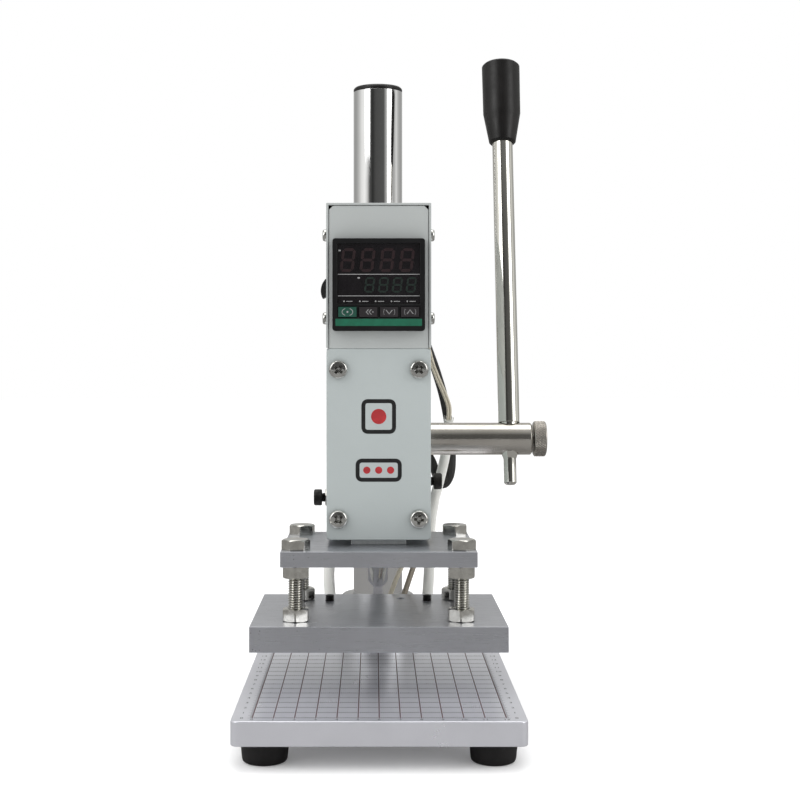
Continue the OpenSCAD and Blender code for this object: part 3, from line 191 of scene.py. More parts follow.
def rounded(corners, radius, steps=6):
    """Closed outline with its corners rounded."""
    out = []
    n = len(corners)
    for i in range(n):
        p = Vector(corners[i])
        back = (Vector(corners[i - 1]) - p).normalized()
        on = (Vector(corners[(i + 1) % n]) - p).normalized()
        half = back.angle(on) / 2
        reach = radius / math.tan(half)
        a, b = p + back * reach, p + on * reach
        for k in range(steps + 1):
            t = k / steps
            out.append(tuple(a * (1 - t) ** 2 + p * 2 * t * (1 - t) + b * t * t))
    return out


def oblong(x, z, half_w, half_h):
    """Corners of a rectangle round a middle."""
    return [(x - half_w, z - half_h), (x + half_w, z - half_h), (x + half_w, z + half_h),
            (x - half_w, z + half_h)]


def build(name, shape, look_name, body, sharp=35, stands_for=(), blend=None):
    """Makes a piece that rides on its body, or, when blend is given, stays in place on no body; the heights
    in blend are not read.
    """
    mesh = bpy.data.meshes.new(name)
    mesh.from_pydata([v * MM for v in shape.verts], [], shape.faces)
    layer = mesh.uv_layers.new(name="UVMap")
    layer.data.foreach_set("uv", [x for face in shape.uvs for uv in face for x in uv])
    mesh.materials.append(look(look_name))
    mesh.polygons.foreach_set("use_smooth", [True] * len(mesh.polygons))
    mesh.set_sharp_from_angle(angle=math.radians(sharp))
    piece = bpy.data.objects.new(name, mesh)
    bpy.context.scene.collection.objects.link(piece)
    if blend:
        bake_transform(piece)
    else:
        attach(piece, body)
    if stands_for:
        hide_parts(*stands_for)
    return piece


# ------------------------------------------------------------------ materials

def value_or_link(tree, value, socket):
    """Sets a socket to a number or a colour, or feeds it from another socket."""
    if isinstance(value, (int, float)):
        socket.default_value = value
    elif isinstance(value, tuple):
        socket.default_value = (*value, 1.0)
    else:
        tree.links.new(value, socket)


class Nodes:
    """A shader tree, with a short call for each kind of node used here."""

    def __init__(self, tree):
        self.tree = tree

    def node(self, kind, **fields):
        made = self.tree.nodes.new(kind)
        for key, value in fields.items():
            setattr(made, key, value)
        return made

    def link(self, a, b):
        self.tree.links.new(a, b)

    def calc(self, operation, *values):
        """Result of a math node on numbers or sockets."""
        made = self.node("ShaderNodeMath", operation=operation)
        for value, socket in zip(values, made.inputs):
            value_or_link(self.tree, value, socket)
        return made.outputs[0]

    def split(self, vector):
        """The X, Y and Z of a vector."""
        made = self.node("ShaderNodeSeparateXYZ")
        self.link(vector, made.inputs["Vector"])
        return made.outputs

    def ramp(self, value, low, high, start=0.35, end=0.65):
        return self.stops(value, ((start, low), (end, high)))

    def stops(self, value, colours):
        """Colour ramp through two or more (place, colour) pairs."""
        made = self.node("ShaderNodeValToRGB")
        marks = made.color_ramp.elements
        while len(marks) < len(colours):
            marks.new(1.0)
        for mark, (spot, colour) in zip(marks, colours):
            mark.position = spot
            mark.color = (*colour, 1)
        self.link(value, made.inputs["Fac"])
        return made.outputs["Color"]

    def span(self, value, low, high, start=0.3, end=0.7):
        made = self.node("ShaderNodeMapRange")
        for key, x in (("From Min", start), ("From Max", end), ("To Min", low), ("To Max", high)):
            made.inputs[key].default_value = x
        self.link(value, made.inputs["Value"])
        return made.outputs["Result"]

    def mix(self, factor, a, b, kind="MIX"):
        made = self.node("ShaderNodeMix", data_type="RGBA", blend_type=kind)
        for socket, x in ((made.inputs[0], factor), (made.inputs[6], a), (made.inputs[7], b)):
            value_or_link(self.tree, x, socket)
        return made.outputs[2]


# Every look made so far, by name
looks = {}


class Look(Nodes):
    """A procedural material: one principled shader with nodes added to its colour, gloss and relief."""

    def __init__(self, name, **sockets):
        self.material = bpy.data.materials.new(name)
        self.material.use_nodes = True
        super().__init__(self.material.node_tree)
        self.shader = self.tree.nodes["Principled BSDF"]
        self.normal = None
        for key, value in sockets.items():
            value_or_link(self.tree, value, self.shader.inputs[key.replace("_", " ")])
        looks[name] = self

    def place(self, stretch=(1, 1, 1)):
        """Coordinates on the piece itself, stretched."""
        coordinates = self.node("ShaderNodeTexCoord")
        mapping = self.node("ShaderNodeMapping")
        mapping.inputs["Scale"].default_value = stretch
        self.link(coordinates.outputs["Object"], mapping.inputs["Vector"])
        return mapping.outputs["Vector"]

    def noise(self, scale, stretch=(1, 1, 1), detail=3.0, rough=0.55):
        texture = self.node("ShaderNodeTexNoise")
        texture.inputs["Scale"].default_value = scale
        texture.inputs["Detail"].default_value = detail
        texture.inputs["Roughness"].default_value = rough
        self.link(self.place(stretch), texture.inputs["Vector"])
        return texture.outputs["Fac"]

    def base(self):
        """What feeds the base colour so far."""
        return self.shader.inputs["Base Color"].links[0].from_socket

    def colour(self, value):
        self.link(value, self.shader.inputs["Base Color"])
        return self

    def gloss(self, value):
        self.link(value, self.shader.inputs["Roughness"])
        return self

    def relief(self, height, depth):
        """Adds a bump of a real depth, in millimetres, on top of those already there."""
        bump = self.node("ShaderNodeBump")
        bump.inputs["Distance"].default_value = depth * MM
        bump.inputs["Strength"].default_value = 1.0
        self.link(height, bump.inputs["Height"])
        if self.normal:
            self.link(self.normal, bump.inputs["Normal"])
        self.normal = bump.outputs["Normal"]
        self.link(self.normal, self.shader.inputs["Normal"])
        return self


def shade(colour, factor):
    return tuple(min(1.0, c * factor) for c in colour)


def plain(name, colour, rough=0.5, metal=0.0, spread=0.06, blotch=70, grain=900, depth=0.01,
          rough_spread=0.05, **sockets):
    """Material with blotches, uneven gloss and a fine grain."""
    look = Look(name, Metallic=metal, **sockets)
    look.colour(look.ramp(look.noise(blotch, detail=5), shade(colour, 1 - spread),
                          shade(colour, 1 + spread)))
    look.gloss(look.span(look.noise(blotch * 1.7), rough - rough_spread, rough + rough_spread))
    look.relief(look.noise(grain, detail=2), depth)
    return look


def grimed(look, recess_shade, reach=1.2):
    """Painted shade: turns the colour towards a dark tone in recesses and corners, by ambient occlusion."""
    occlusion = look.node("ShaderNodeAmbientOcclusion", samples=6)
    occlusion.inputs["Distance"].default_value = reach * MM
    unshaded = look.span(occlusion.outputs["AO"], 0.0, 1.0, 0.35, 0.85)
    return look.colour(look.mix(unshaded, recess_shade, look.base()))


def brushed(name, colour, rough, direction, depth=0.006, spread=0.07, streaks=0.86, metal=1.0):
    """Metal with fine lines along one direction; streaks is how light the darkest line stays."""
    stretch = tuple(0.02 if d else 1 for d in direction)
    look = Look(name, Metallic=metal)
    lines = look.noise(2600, stretch, detail=4, rough=0.65)
    cloud = look.noise(45, detail=4)
    base = look.ramp(cloud, shade(colour, 1 - spread), shade(colour, 1 + spread))
    streak = look.ramp(lines, (streaks, streaks, streaks), (1, 1, 1), 0.3, 0.6)
    look.colour(look.mix(1.0, base, streak, "MULTIPLY"))
    look.gloss(look.span(lines, rough - 0.05, rough + 0.07))
    look.relief(lines, depth)
    return look


def woven(name, light, groove_shade, across, along, depth, rough=0.75, metal=0.0, fuzz=0.0):
    """Braid or weave that runs round a tube, in strands per turn and per millimetre of length."""
    wave_period = 0.314
    look = Look(name, Metallic=metal, Roughness=rough, Sheen_Weight=fuzz)
    strands = []
    for lean in (-1, 1):
        wave = look.node("ShaderNodeTexWave", wave_type="BANDS", bands_direction="X")
        wave.inputs["Scale"].default_value = 1.0
        wave.inputs["Distortion"].default_value = 0.6
        unwrapped = look.split(look.node("ShaderNodeTexCoord").outputs["UV"])
        join = look.node("ShaderNodeCombineXYZ")
        turn = look.calc("MULTIPLY", unwrapped["X"], across * wave_period)
        run = look.calc("MULTIPLY", unwrapped["Y"], along * wave_period * lean)
        look.link(look.calc("ADD", turn, run), join.inputs["X"])
        look.link(join.outputs["Vector"], wave.inputs["Vector"])
        strands.append(wave.outputs["Fac"])
    weave = look.calc("MAXIMUM", *strands)
    # Painted shade: the grooves between strands are darker, following the same waves as the relief
    strands_and_shade = look.ramp(weave, groove_shade, light, 0.15, 0.8)
    stain = look.ramp(look.noise(120, detail=4), shade(light, 0.86), shade(light, 1.05))
    look.colour(look.mix(0.35, strands_and_shade, stain, "MULTIPLY"))
    look.relief(weave, depth)
    look.relief(look.noise(2500, detail=2), depth * 0.25)
    return look


def make_metals():
    plain("base_anodised", (0.80, 0.805, 0.86), 0.3, 0.75, 0.03, 30, 1500, 0.006, 0.03)
    zinc = plain("zinc_steel", (0.68, 0.68, 0.655), 0.16, 1.0, 0.12, 260, 1400, 0.006, 0.07)
    # Painted shade in the recesses of the screws, bolts and knurl
    grimed(zinc, (0.035, 0.032, 0.028))
    bolt = plain("zinc_bolt", (0.64, 0.63, 0.59), 0.17, 1.0, 0.12, 260, 1400, 0.006, 0.07)
    grimed(bolt, (0.06, 0.055, 0.045), 0.5)
    knurl = plain("knurl_steel", (0.47, 0.44, 0.40), 0.3, 1.0, 0.15, 300, 1400, 0.008, 0.08)
    grimed(knurl, (0.04, 0.034, 0.028), 0.6)
    plain("chrome", (0.80, 0.80, 0.80), 0.06, 1.0, 0.02, 30, 300, 0.0004, 0.02)
    plain("warm_chrome", (0.78, 0.765, 0.71), 0.09, 1.0, 0.03, 30, 600, 0.0006, 0.03)
    plain("black_steel", (0.03, 0.029, 0.028), 0.36, 0.8, 0.25, 400, 1200, 0.01)
    plain("bronze", (0.55, 0.37, 0.16), 0.32, 1.0, 0.12, 140, 900, 0.008)
    brushed("turned_steel", (0.55, 0.55, 0.55), 0.3, (1, 1, 0))
    brushed("ground_steel", (0.60, 0.62, 0.62), 0.42, (0, 0, 1), 0.004, metal=0.7)


def make_nickel():
    """Dull plating over the fine rings of a turned shaft."""
    nickel = Look("nickel", Metallic=1.0)
    rings = nickel.noise(3200, (1, 0.02, 0.02), detail=3)
    cloud = nickel.noise(70, (0.4, 1, 1), detail=5)
    nickel.colour(nickel.ramp(cloud, (0.60, 0.57, 0.52), (0.72, 0.69, 0.64)))
    nickel.gloss(nickel.span(rings, 0.13, 0.24))
    nickel.relief(rings, 0.004)


def make_plate_metal():
    """Milled aluminium, with small pits here and there towards the left end of a plate."""
    plate = brushed("machined_aluminium", (0.55, 0.56, 0.60), 0.3, (1, 0, 0), 0.002, 0.04, 0.95, 0.9)
    pits = plate.node("ShaderNodeTexVoronoi", feature="F1")
    pits.inputs["Scale"].default_value = 420
    plate.link(plate.place(), pits.inputs["Vector"])
    rare = plate.span(pits.outputs["Distance"], 1.0, 0.0, 0.08, 0.14)
    left = plate.span(plate.split(plate.place())["X"], 1.0, 0.0, -0.052, -0.018)
    patchy = plate.span(plate.noise(60, detail=1), 0.0, 1.0, 0.50, 0.58)
    pitted = plate.calc("MULTIPLY", rare, plate.calc("MULTIPLY", left, patchy))
    plate.colour(plate.mix(pitted, plate.base(), (0.05, 0.05, 0.05)))
    plate.relief(plate.span(pitted, 1.0, 0.0, 0.0, 1.0), 0.1)


def make_paints():
    for name, tone in (("head_paint", (0.34, 0.372, 0.37)), ("box_paint", (0.335, 0.352, 0.347))):
        paint = plain(name, tone, 0.42, 0.0, 0.018, 22, 750, 0.035, 0.05)
        paint.relief(paint.noise(180, detail=2), 0.03)


def make_plastics():
    plain("rubber", (0.008, 0.007, 0.0075), 0.55, grain=1500, depth=0.03, spread=0.25)
    plain("black_plastic", (0.006, 0.0052, 0.005), 0.38, 0.0, 0.2, 90, 1600, 0.012, 0.06,
          Specular_IOR_Level=0.35)
    plain("controller_plastic", (0.006, 0.006, 0.0065), 0.4, grain=2000, depth=0.012, spread=0.2,
          Specular_IOR_Level=0.3)
    plain("display_acrylic", (0.006, 0.005, 0.006), 0.12, 0.0, 0.3, 60, 500, 0.001, 0.05,
          Coat_Weight=0.6, Coat_Roughness=0.06)
    plain("circuit_board", (0.02, 0.13, 0.05), 0.4, spread=0.3, blotch=300)
    plain("key_plastic", (0.016, 0.013, 0.015), 0.45, grain=1800, depth=0.015)
    plain("key_green", (0.003, 0.06, 0.038), 0.45, grain=1800, depth=0.015)
    plain("switch_plastic", (0.015, 0.015, 0.015), 0.26, grain=900, depth=0.006)
    plain("white_plastic", (0.74, 0.74, 0.71), 0.45, grain=700, depth=0.02)
    plain("black_sheath", (0.02, 0.019, 0.018), 0.5, grain=1200, depth=0.02, spread=0.3)


def make_weaves():
    woven("white_sleeve", (0.80, 0.80, 0.77), (0.46, 0.46, 0.43), 18, 0.8, 0.12, fuzz=0.4)
    woven("cream_insulation", (0.70, 0.66, 0.55), (0.36, 0.32, 0.25), 10, 1.4, 0.07, fuzz=0.3)
    woven("steel_braid", (0.55, 0.50, 0.43), (0.10, 0.07, 0.05), 12, 1.9, 0.09, 0.38, 0.8)


def make_inks():
    plain("ink_red", (0.085, 0.022, 0.030), 0.55, spread=0.25, blotch=400)
    plain("ink_black", (0.007, 0.007, 0.0075), 0.55, spread=0.3, blotch=500)
    plain("ink_grey", (0.060, 0.056, 0.058), 0.55, spread=0.25, blotch=600)
    plain("mark_red", (0.34, 0.010, 0.014), 0.5, spread=0.12, blotch=300)
    plain("print_pale", (0.26, 0.26, 0.26), 0.5, spread=0.1, blotch=500)
    plain("print_green", (0.002, 0.10, 0.052), 0.4, spread=0.1, blotch=300)
    # The unlit segments get a faint painted glow from emission
    for name, tone, power in (("digit_red", (0.016, 0.006, 0.0075), 0.12),
                              ("digit_green", (0.007, 0.016, 0.012), 0.10)):
        plain(name, tone, 0.4, spread=0.25, blotch=700, Emission_Color=tone, Emission_Strength=power)


make_metals()
make_nickel()
make_plate_metal()
make_paints()
make_plastics()
make_weaves()
make_inks()


def look(name):
    return looks[name].material


# ------------------------------------------------------------------ CAD pieces that keep their shape

# Pieces inside others, which keep their sharp edges
INNER = ("column_plug", "column_bolt", "seat_screws", "guide_strip", "chassis_screws", "circuit_boards",
         "terminal_block", "controller_case", "cartridge_heaters", "rack_screws", "ram_screws", "gear_pin",
         "spring_pin_upper", "spring_pin_lower", "clamp_screw")
# Width of the broken edge of each piece, in millimetres, and of all the others
EDGES = {"base_plate": 0.7, "heating_plate": 0.35, "upper_plate": 0.4, "head_body": 0.6, "front_cover": 0.6,
         "box_cover": 0.35, "box_chassis": 0.3, "column_seat": 0.5, "column_cap": 0.5, "rubber_feet": 0.7,
         "ram": 0.5, "controller_bezel": 0.3, "switch_housing": 0.4, "rocker": 0.3, "lead_clip": 0.3}
EDGE = 0.15


def keep_nodes():
    """CAD pieces take their look, and their edges are broken as on the real part."""
    for name, piece in nodes.items():
        slot_name = piece.data.materials[0].name.split(".")[0]
        look_name = "warm_chrome" if name == "lever_rod" else slot_name
        piece.material_slots[0].material = look(look_name)
        if name in INNER:
            continue
        custom = piece.data.attributes.get("custom_normal")
        if custom:
            piece.data.attributes.remove(custom)
        piece.data.polygons.foreach_set("use_smooth", [True] * len(piece.data.polygons))
        weld = piece.modifiers.new("weld", "WELD")
        weld.merge_threshold = 0.002 * MM
        flats = piece.modifiers.new("flats", "DECIMATE")
        flats.decimate_type = "DISSOLVE"
        flats.angle_limit = math.radians(0.4)
        edges = piece.modifiers.new("edges", "BEVEL")
        edges.width = EDGES.get(name, EDGE) * MM
        edges.segments = 3
        edges.limit_method = "ANGLE"
        edges.angle_limit = math.radians(28)
        edges.use_clamp_overlap = False
        edges.loop_slide = False
        edges.harden_normals = True


keep_nodes()


# ------------------------------------------------------------------ camera, stage and light

# Place of the camera, in metres
EYE = (-0.0027, -0.788, 0.1695)


def make_camera():
    """Level camera in front of the press, a little left of its middle."""
    camera = bpy.data.cameras.new("camera")
    camera.lens = 64.08
    camera.sensor_width = 36.0
    camera.shift_x = 0.0331
    camera.shift_y = -0.0513
    camera.clip_start = 0.01
    camera.clip_end = 50.0
    holder = bpy.data.objects.new("camera", camera)
    holder.location = EYE
    holder.rotation_euler = (math.radians(90), 0, 0)
    bpy.context.scene.collection.objects.link(holder)
    bpy.context.scene.camera = holder


def stage_square(name, half, z, colour, glow=0.0):
    """Level square that is only there for the picture."""
    mesh = bpy.data.meshes.new(name)
    mesh.from_pydata([(x, y, z) for x, y in oblong(0, 0, half, half)], [], [[0, 1, 2, 3]])
    cover = plain(name, colour, 0.6, spread=0.01, blotch=4, grain=300, Specular_IOR_Level=0.0,
                  Emission_Color=colour, Emission_Strength=glow)
    mesh.materials.append(cover.material)
    piece = bpy.data.objects.new(name, mesh)
    bpy.context.scene.collection.objects.link(piece)
    return piece


def make_table_card(floor_z):
    """Grey card that only shows in reflections, so that metal doesn't mirror a white floor."""
    above_floor = 0.0004
    piece = stage_square("table_card", 4.0, floor_z + above_floor, (0.23, 0.227, 0.222))
    for ray in ("camera", "diffuse", "shadow", "transmission", "volume_scatter"):
        setattr(piece, "visible_" + ray, False)


def soft_light(name, place, aim, size, power):
    lamp = bpy.data.lights.new(name, "AREA")
    lamp.shape = "RECTANGLE"
    lamp.size, lamp.size_y = size
    lamp.energy = power
    holder = bpy.data.objects.new(name, lamp)
    holder.location = place
    holder.rotation_euler = (Vector(aim) - Vector(place)).to_track_quat("-Z", "Y").to_euler()
    bpy.context.scene.collection.objects.link(holder)


# Brightness of the studio round the press, by angle from the front, to the left and to the right
STUDIO = [(-180, 0.52), (-133, 0.35), (-112, 0.47), (-97, 0.66), (-84, 0.9), (-65, 1.05), (-52, 0.7),
          (-40, 0.1), (-25, 0.03), (-10, 0.08), (28, 0.1), (40, 0.5), (52, 1.1), (62, 1.1), (72, 0.42),
          (84, 0.48), (97, 0.8), (112, 0.5), (133, 0.35), (180, 0.52)]


def make_world():
    """White all round, but what the metal reflects is a room with lamps at the sides."""
    world = bpy.data.worlds.new("studio")
    world.use_nodes = True
    air = Nodes(world.node_tree)
    way = air.split(air.node("ShaderNodeTexCoord").outputs["Generated"])
    angle = air.calc("ARCTAN2", way["X"], air.calc("MULTIPLY", way["Y"], -1.0))
    share = air.span(angle, 0.0, 1.0, -math.pi, math.pi)
    room = air.stops(share, [((a + 180) / 360, (glow, glow, glow * 0.98)) for a, glow in STUDIO])
    rise = air.calc("MULTIPLY_ADD", way["Y"], 0.25, way["Z"])
    dome = air.mix(air.span(rise, 0.0, 1.0, 0.3, 0.85), room, (0.52, 0.52, 0.505))
    glossy = air.node("ShaderNodeLightPath").outputs["Is Glossy Ray"]
    background = world.node_tree.nodes["Background"]
    air.link(air.mix(glossy, (1, 1, 1), dome), background.inputs["Color"])
    bpy.context.scene.world = world
    bpy.context.scene.view_settings.view_transform = "Standard"


def make_stage():
    floor_z = cad_box[0].z
    stage_square("floor", 6.0, floor_z, (0.93, 0.93, 0.93), 0.12)
    make_table_card(floor_z)
    make_world()
    soft_light("key", (-1.3, -1.0, 1.1), (0, 0, 0.12), (0.9, 1.2), 9)
    soft_light("fill", (1.4, -0.8, 0.8), (0, 0, 0.12), (0.8, 1.2), 6)
    soft_light("top", (0, 0.2, 1.6), (0, 0, 0.1), (1.2, 1.2), 8)


make_camera()
make_stage()


# ------------------------------------------------------------------ leads

# Routes of the leads, in millimetres: the same points as in the CAD model.
LEFT_SLEEVE = [(-27, 24, 29), (-27, 30, 29), (-28, 40, 33), (-29, 52, 42), (-28.5, 68, 51), (-26.5, 86, 55),
               (-24, 102, 57.5), (-22, 115, 64), (-21, 118.5, 74), (-20.5, 118, 88), (-20.5, 118, 96),
               (-20.5, 118, 110)]
RIGHT_SLEEVE = [(27, 24, 29), (27, 30, 29), (28.5, 38, 32), (30, 52, 43), (31, 68, 56), (32.5, 86, 70),
                (35.5, 102, 82), (39, 108, 94), (42.3, 109, 108), (44, 108, 121), (44.5, 106, 131)]
HEATER_WIRE = [(44.5, 106, 131), (44.6, 104.4, 139), (42, 103.5, 147), (38, 102.5, 156), (34, 100, 166),
               (31, 95, 176), (27, 86, 186), (21.5, 78, 190.5), (19, 73, 190.5), (19, 69.4, 190.5)]
PROBE_LEAD = [(13.5, 18, 29), (13.5, 28, 29), (15, 36, 33), (19, 46, 43), (25, 58, 58), (29.5, 70, 72),
              (30.5, 78, 86), (30.5, 82, 111), (30.5, 83, 138), (30.5, 83, 164), (29, 81, 176),
              (23, 77, 182), (19, 73, 182), (19, 69.4, 182)]
EARTH_LEAD = [(5, 18, 29), (5, 27, 29), (6.5, 34, 32), (11, 43, 42), (18, 53, 55), (26.5, 61, 66),
              (30, 68, 75), (30, 72, 106), (30, 73, 141), (30.5, 75, 181), (29.5, 78, 200), (24, 78, 208),
              (19, 74, 209), (19, 69.4, 209)]
SHEATH = [(19, 69.4, 199.5), (19, 74, 199.5), (21, 82, 198), (26, 94, 190), (31, 103, 177), (37, 111, 161),
          (42, 114.5, 144), (45.5, 115.5, 124), (46.8, 115.5, 106), (45.5, 115.5, 95), (41.5, 116, 90),
          (37.5, 116.5, 95.5), (33.5, 117, 106), (24, 118, 119), (6, 118, 128), (-12, 118, 134),
          (-19, 118, 130), (-20.5, 118, 123), (-20.5, 118, 111)]


def bulge(length_share):
    """A sleeve is pinched where it is held and fuller between."""
    return 3.25 + 0.3 * math.sin(math.pi * length_share) ** 0.5


def fray(shape, tip, ahead, radius, count, seed):
    """Loose strands at the cut end of a woven sleeve."""
    rng = random.Random(seed)
    ahead = Vector(ahead).normalized()
    side = ahead.orthogonal().normalized()
    up = ahead.cross(side)
    for k in range(count):
        a = 2 * math.pi * (k + rng.random()) / count
        out = side * math.cos(a) + up * math.sin(a)
        start = Vector(tip) + out * radius * 0.85 - ahead * 1.5
        length = rng.uniform(2.2, 4.2)
        flare = rng.uniform(0.1, 0.6)
        sway = side * rng.uniform(-0.4, 0.4)
        path = [start, start + ahead * (length * 0.5) + out * flare * 0.4,
                start + ahead * length + out * flare + sway]
        shape.tube(smooth(path, 0.8), 0.16, 5)


def make_sleeves():
    """Sleeves of the two heaters, which run between the plate and the head."""
    plate_end = 34
    for side, route, head_end in (("left", LEFT_SLEEVE, 96), ("right", RIGHT_SLEEVE, 121)):
        path = smooth(route)
        shape = Shape().tube(path, bulge, 20, squeeze=0.86)
        stands_for = ()
        if side == "right":
            fray(shape, path[-1], path[-1] - path[-3], 3.2, 16, 7)
            stands_for = ("heater_sleeves",)
        build(f"heater_sleeve_{side}", shape, "white_sleeve", ("ram", "head"), 60,
              stands_for, blend=(plate_end, head_end))


def make_leads():
    """Leads from the plate stay in place on no body; the others stay with the head."""
    pair = Shape()
    for side in (-1, 1):
        pair.tube([p + Vector((0.75 * side, 0, 0.25 * side)) for p in smooth(HEATER_WIRE)], 0.85, 10)
    build("heater_wire_pair", pair, "cream_insulation", "head", 60, ("heater_wire",))
    plate_end = 32
    shape = Shape().tube(smooth(PROBE_LEAD), 1.6, 12)
    build("thermocouple_braid", shape, "steel_braid", ("ram", "head"), 60,
          ("thermocouple_lead",), blend=(plate_end, 164))
    shape = Shape().tube(smooth(EARTH_LEAD), 1.4, 12)
    build("earth_wire", shape, "cream_insulation", ("ram", "head"), 60,
          ("earth_lead",), blend=(plate_end, 181))
    shape = Shape().tube(smooth(SHEATH), 2.8, 18)
    build("sheath", shape, "black_sheath", "head", 60, ("sheathed_lead",))


def make_spring():
    """Coil between the pins of the head and the ram."""
    low, high = corner("return_spring")
    mid_y = (low.y + high.y) / 2
    turns, steps, radius, wire_r = 11, 26, 4.3, 0.7
    coil = []
    for i in range(turns * steps + 1):
        a = 2 * math.pi * i / steps
        rise = (high.z - low.z - 2 * wire_r) * i / (turns * steps)
        coil.append((radius * math.cos(a), mid_y + radius * math.sin(a), low.z + wire_r + rise))
    build("spring_coil", Shape().tube(coil, wire_r, 8), "zinc_steel", ("ram", "head"), 60,
          ("return_spring",), blend=(low.z, high.z))


make_sleeves()
make_leads()
make_spring()


# ------------------------------------------------------------------ screws, bolts, nuts

def hexagon(across):
    """Radius of a hexagon of that width across its flats, by angle."""
    def radius(a):
        return across / 2 / math.cos((a % (math.pi / 3)) - math.pi / 6)
    return radius


def hex_solid(shape, place, across, z0, z1, both=False, bore=0.0, crown=0.0):
    """Hexagon with its corners cut by a cone at the top, or at both ends, so that the cuts are arcs."""
    n = 96
    chamfer = 0.4
    radius = hexagon(across)
    flat_r = across / 2 * 0.96
    slope = math.tan(math.radians(30))
    verts, faces, rows = [], [], []

    def drop(a):
        return max(0.0, radius(a) - flat_r) * slope

    def ring(r_of, z_of):
        """A row of points; radius and height are numbers or functions of the angle."""
        rows.append(len(verts))
        for i in range(n):
            a = 2 * math.pi * (i + 0.5) / n
            r = r_of(a) if callable(r_of) else r_of
            z = z_of(a) if callable(z_of) else z_of
            verts.append(place @ Vector((r * math.cos(a), r * math.sin(a), z)))

    if bore:
        ring(bore, z0 + chamfer)
        ring(bore + chamfer, z0)
    else:
        ring(0.01, z0)
    if both:
        ring(flat_r, z0)
        ring(radius, lambda a: z0 + drop(a) + 0.02)
    else:
        ring(radius, z0)
    ring(radius, lambda a: z1 - drop(a))
    ring(flat_r, z1)
    if bore:
        ring(bore + chamfer, z1)
        ring(bore, z1 - chamfer)
    else:
        ring(flat_r * 0.8, z1 - crown * 0.4)
        ring(flat_r * 0.4, z1 - crown)
        ring(0.01, z1 - crown)
    pairs = list(zip(rows, rows[1:]))
    if bore:
        pairs.append((rows[-1], rows[0]))
    for low, high in pairs:
        for i in range(n):
            j = (i + 1) % n
            faces.append([low + i, low + j, high + j, high + i])
    return shape.add(verts, faces)


def threaded(shape, place, diameter, pitch, z0, z1, n=28, per_turn=7):
    """Threaded shank whose crest runs in a true helix."""
    outer, depth = diameter / 2, pitch * 0.54

    def profile(z):
        def radius(a):
            phase = (z / pitch - a / (2 * math.pi)) % 1.0
            ridge = min(1.0, max(0.0, 1.35 * (1 - abs(2 * phase - 1)) - 0.15))
            fade = min(1.0, (z - z0) / pitch, (z1 - z) / pitch)
            return outer - depth + depth * ridge * max(0.0, fade)
        return radius
    count = int((z1 - z0) / pitch * per_turn)
    rings = [(z0, 0)]
    rings += [(z0 + (z1 - z0) * k / count, profile(z0 + (z1 - z0) * k / count)) for k in range(count + 1)]
    rings.append((z1, 0))
    return shape.turned(rings, place, n)


def pan_mesh(diameter, height):
    """Pan head with a cross recess, made once and shared by its screws."""
    r = diameter / 2
    head = Shape()
    rings = [(0, 0), (0, r * 0.96), (height * 0.06, r), (height * 0.3, r)]
    for k in range(1, 9):
        a = math.pi / 2 * k / 8
        rings.append((height * (0.3 + 0.62 * math.sin(a)), r * (0.72 + 0.28 * math.cos(a))))
    rings += [(height * 0.97, r * 0.45), (height, 0)]
    head.turned(rings, Matrix.Identity(4), 64)
    cut = Shape()
    depth = height * 0.62
    top = height + 0.4
    for turn in (0, 90):
        place = Matrix.Rotation(math.radians(turn), 4, "Z")
        wide, thin, low_wide, low_thin = r * 0.60, r * 0.15, r * 0.26, r * 0.10
        verts = [place @ Vector(v) for v in (
            (-low_wide, -low_thin, height - depth), (low_wide, -low_thin, height - depth),
            (low_wide, low_thin, height - depth), (-low_wide, low_thin, height - depth),
            (-wide, -thin, top), (wide, -thin, top), (wide, thin, top), (-wide, thin, top))]
        cut.add(verts, [[3, 2, 1, 0], [4, 5, 6, 7], [0, 1, 5, 4], [1, 2, 6, 5], [2, 3, 7, 6], [3, 0, 4, 7]])
    cut.turned([(height - depth * 1.05, 0), (height - depth, r * 0.16), (top, r * 0.36), (top, 0)],
               Matrix.Identity(4), 16)
    parts = []
    for label, shape in (("pan_head", head), ("pan_cut", cut)):
        mesh = bpy.data.meshes.new(label)
        mesh.from_pydata([tuple(v) for v in shape.verts], [], shape.faces)
        part = bpy.data.objects.new(label, mesh)
        bpy.context.scene.collection.objects.link(part)
        parts.append(part)
    cutting = parts[0].modifiers.new("recess", "BOOLEAN")
    cutting.operation = "DIFFERENCE"
    cutting.object = parts[1]
    cutting.solver = "EXACT"
    cutting.use_self = True
    made = parts[0].evaluated_get(bpy.context.evaluated_depsgraph_get())
    mesh = bpy.data.meshes.new_from_object(made)
    verts = [v.co.copy() for v in mesh.vertices]
    faces = [list(p.vertices) for p in mesh.polygons]
    for part in parts:
        bpy.data.objects.remove(part)
    return verts, faces


def pan_screw(shape, mesh, place, shank_d, shank_len):
    verts, faces = mesh
    shape.add([place @ v for v in verts], faces)
    shape.turned([(-shank_len, 0), (-shank_len, shank_d / 2 - 0.4), (0.4 - shank_len, shank_d / 2),
                  (0.02, shank_d / 2), (0.02, 0)], place, 24)
    return shape


def grooves(radius, depth, count):
    """Straight knurl round a cylinder, by angle."""
    def profile(a):
        return radius - depth * (0.5 - 0.5 * math.cos(count * a))
    return profile


def socket_screw(shape, place, diameter, height):
    """Cylinder head on its base with a hexagonal socket and a knurled side."""
    r = diameter / 2
    side = grooves(r, 0.18, 36)
    key = hexagon(diameter * 0.5)
    rings = [(0, 0), (0, r - 0.5), (0.3, r - 0.15), (0.45, side), (height - 0.8, side),
             (height - 0.6, r - 0.12), (height - 0.15, r - 0.5), (height, r - 0.8),
             (height, diameter * 0.31), (height - 0.3, key), (height * 0.45, key), (height * 0.42, 0)]
    return shape.turned(rings, place, 144)


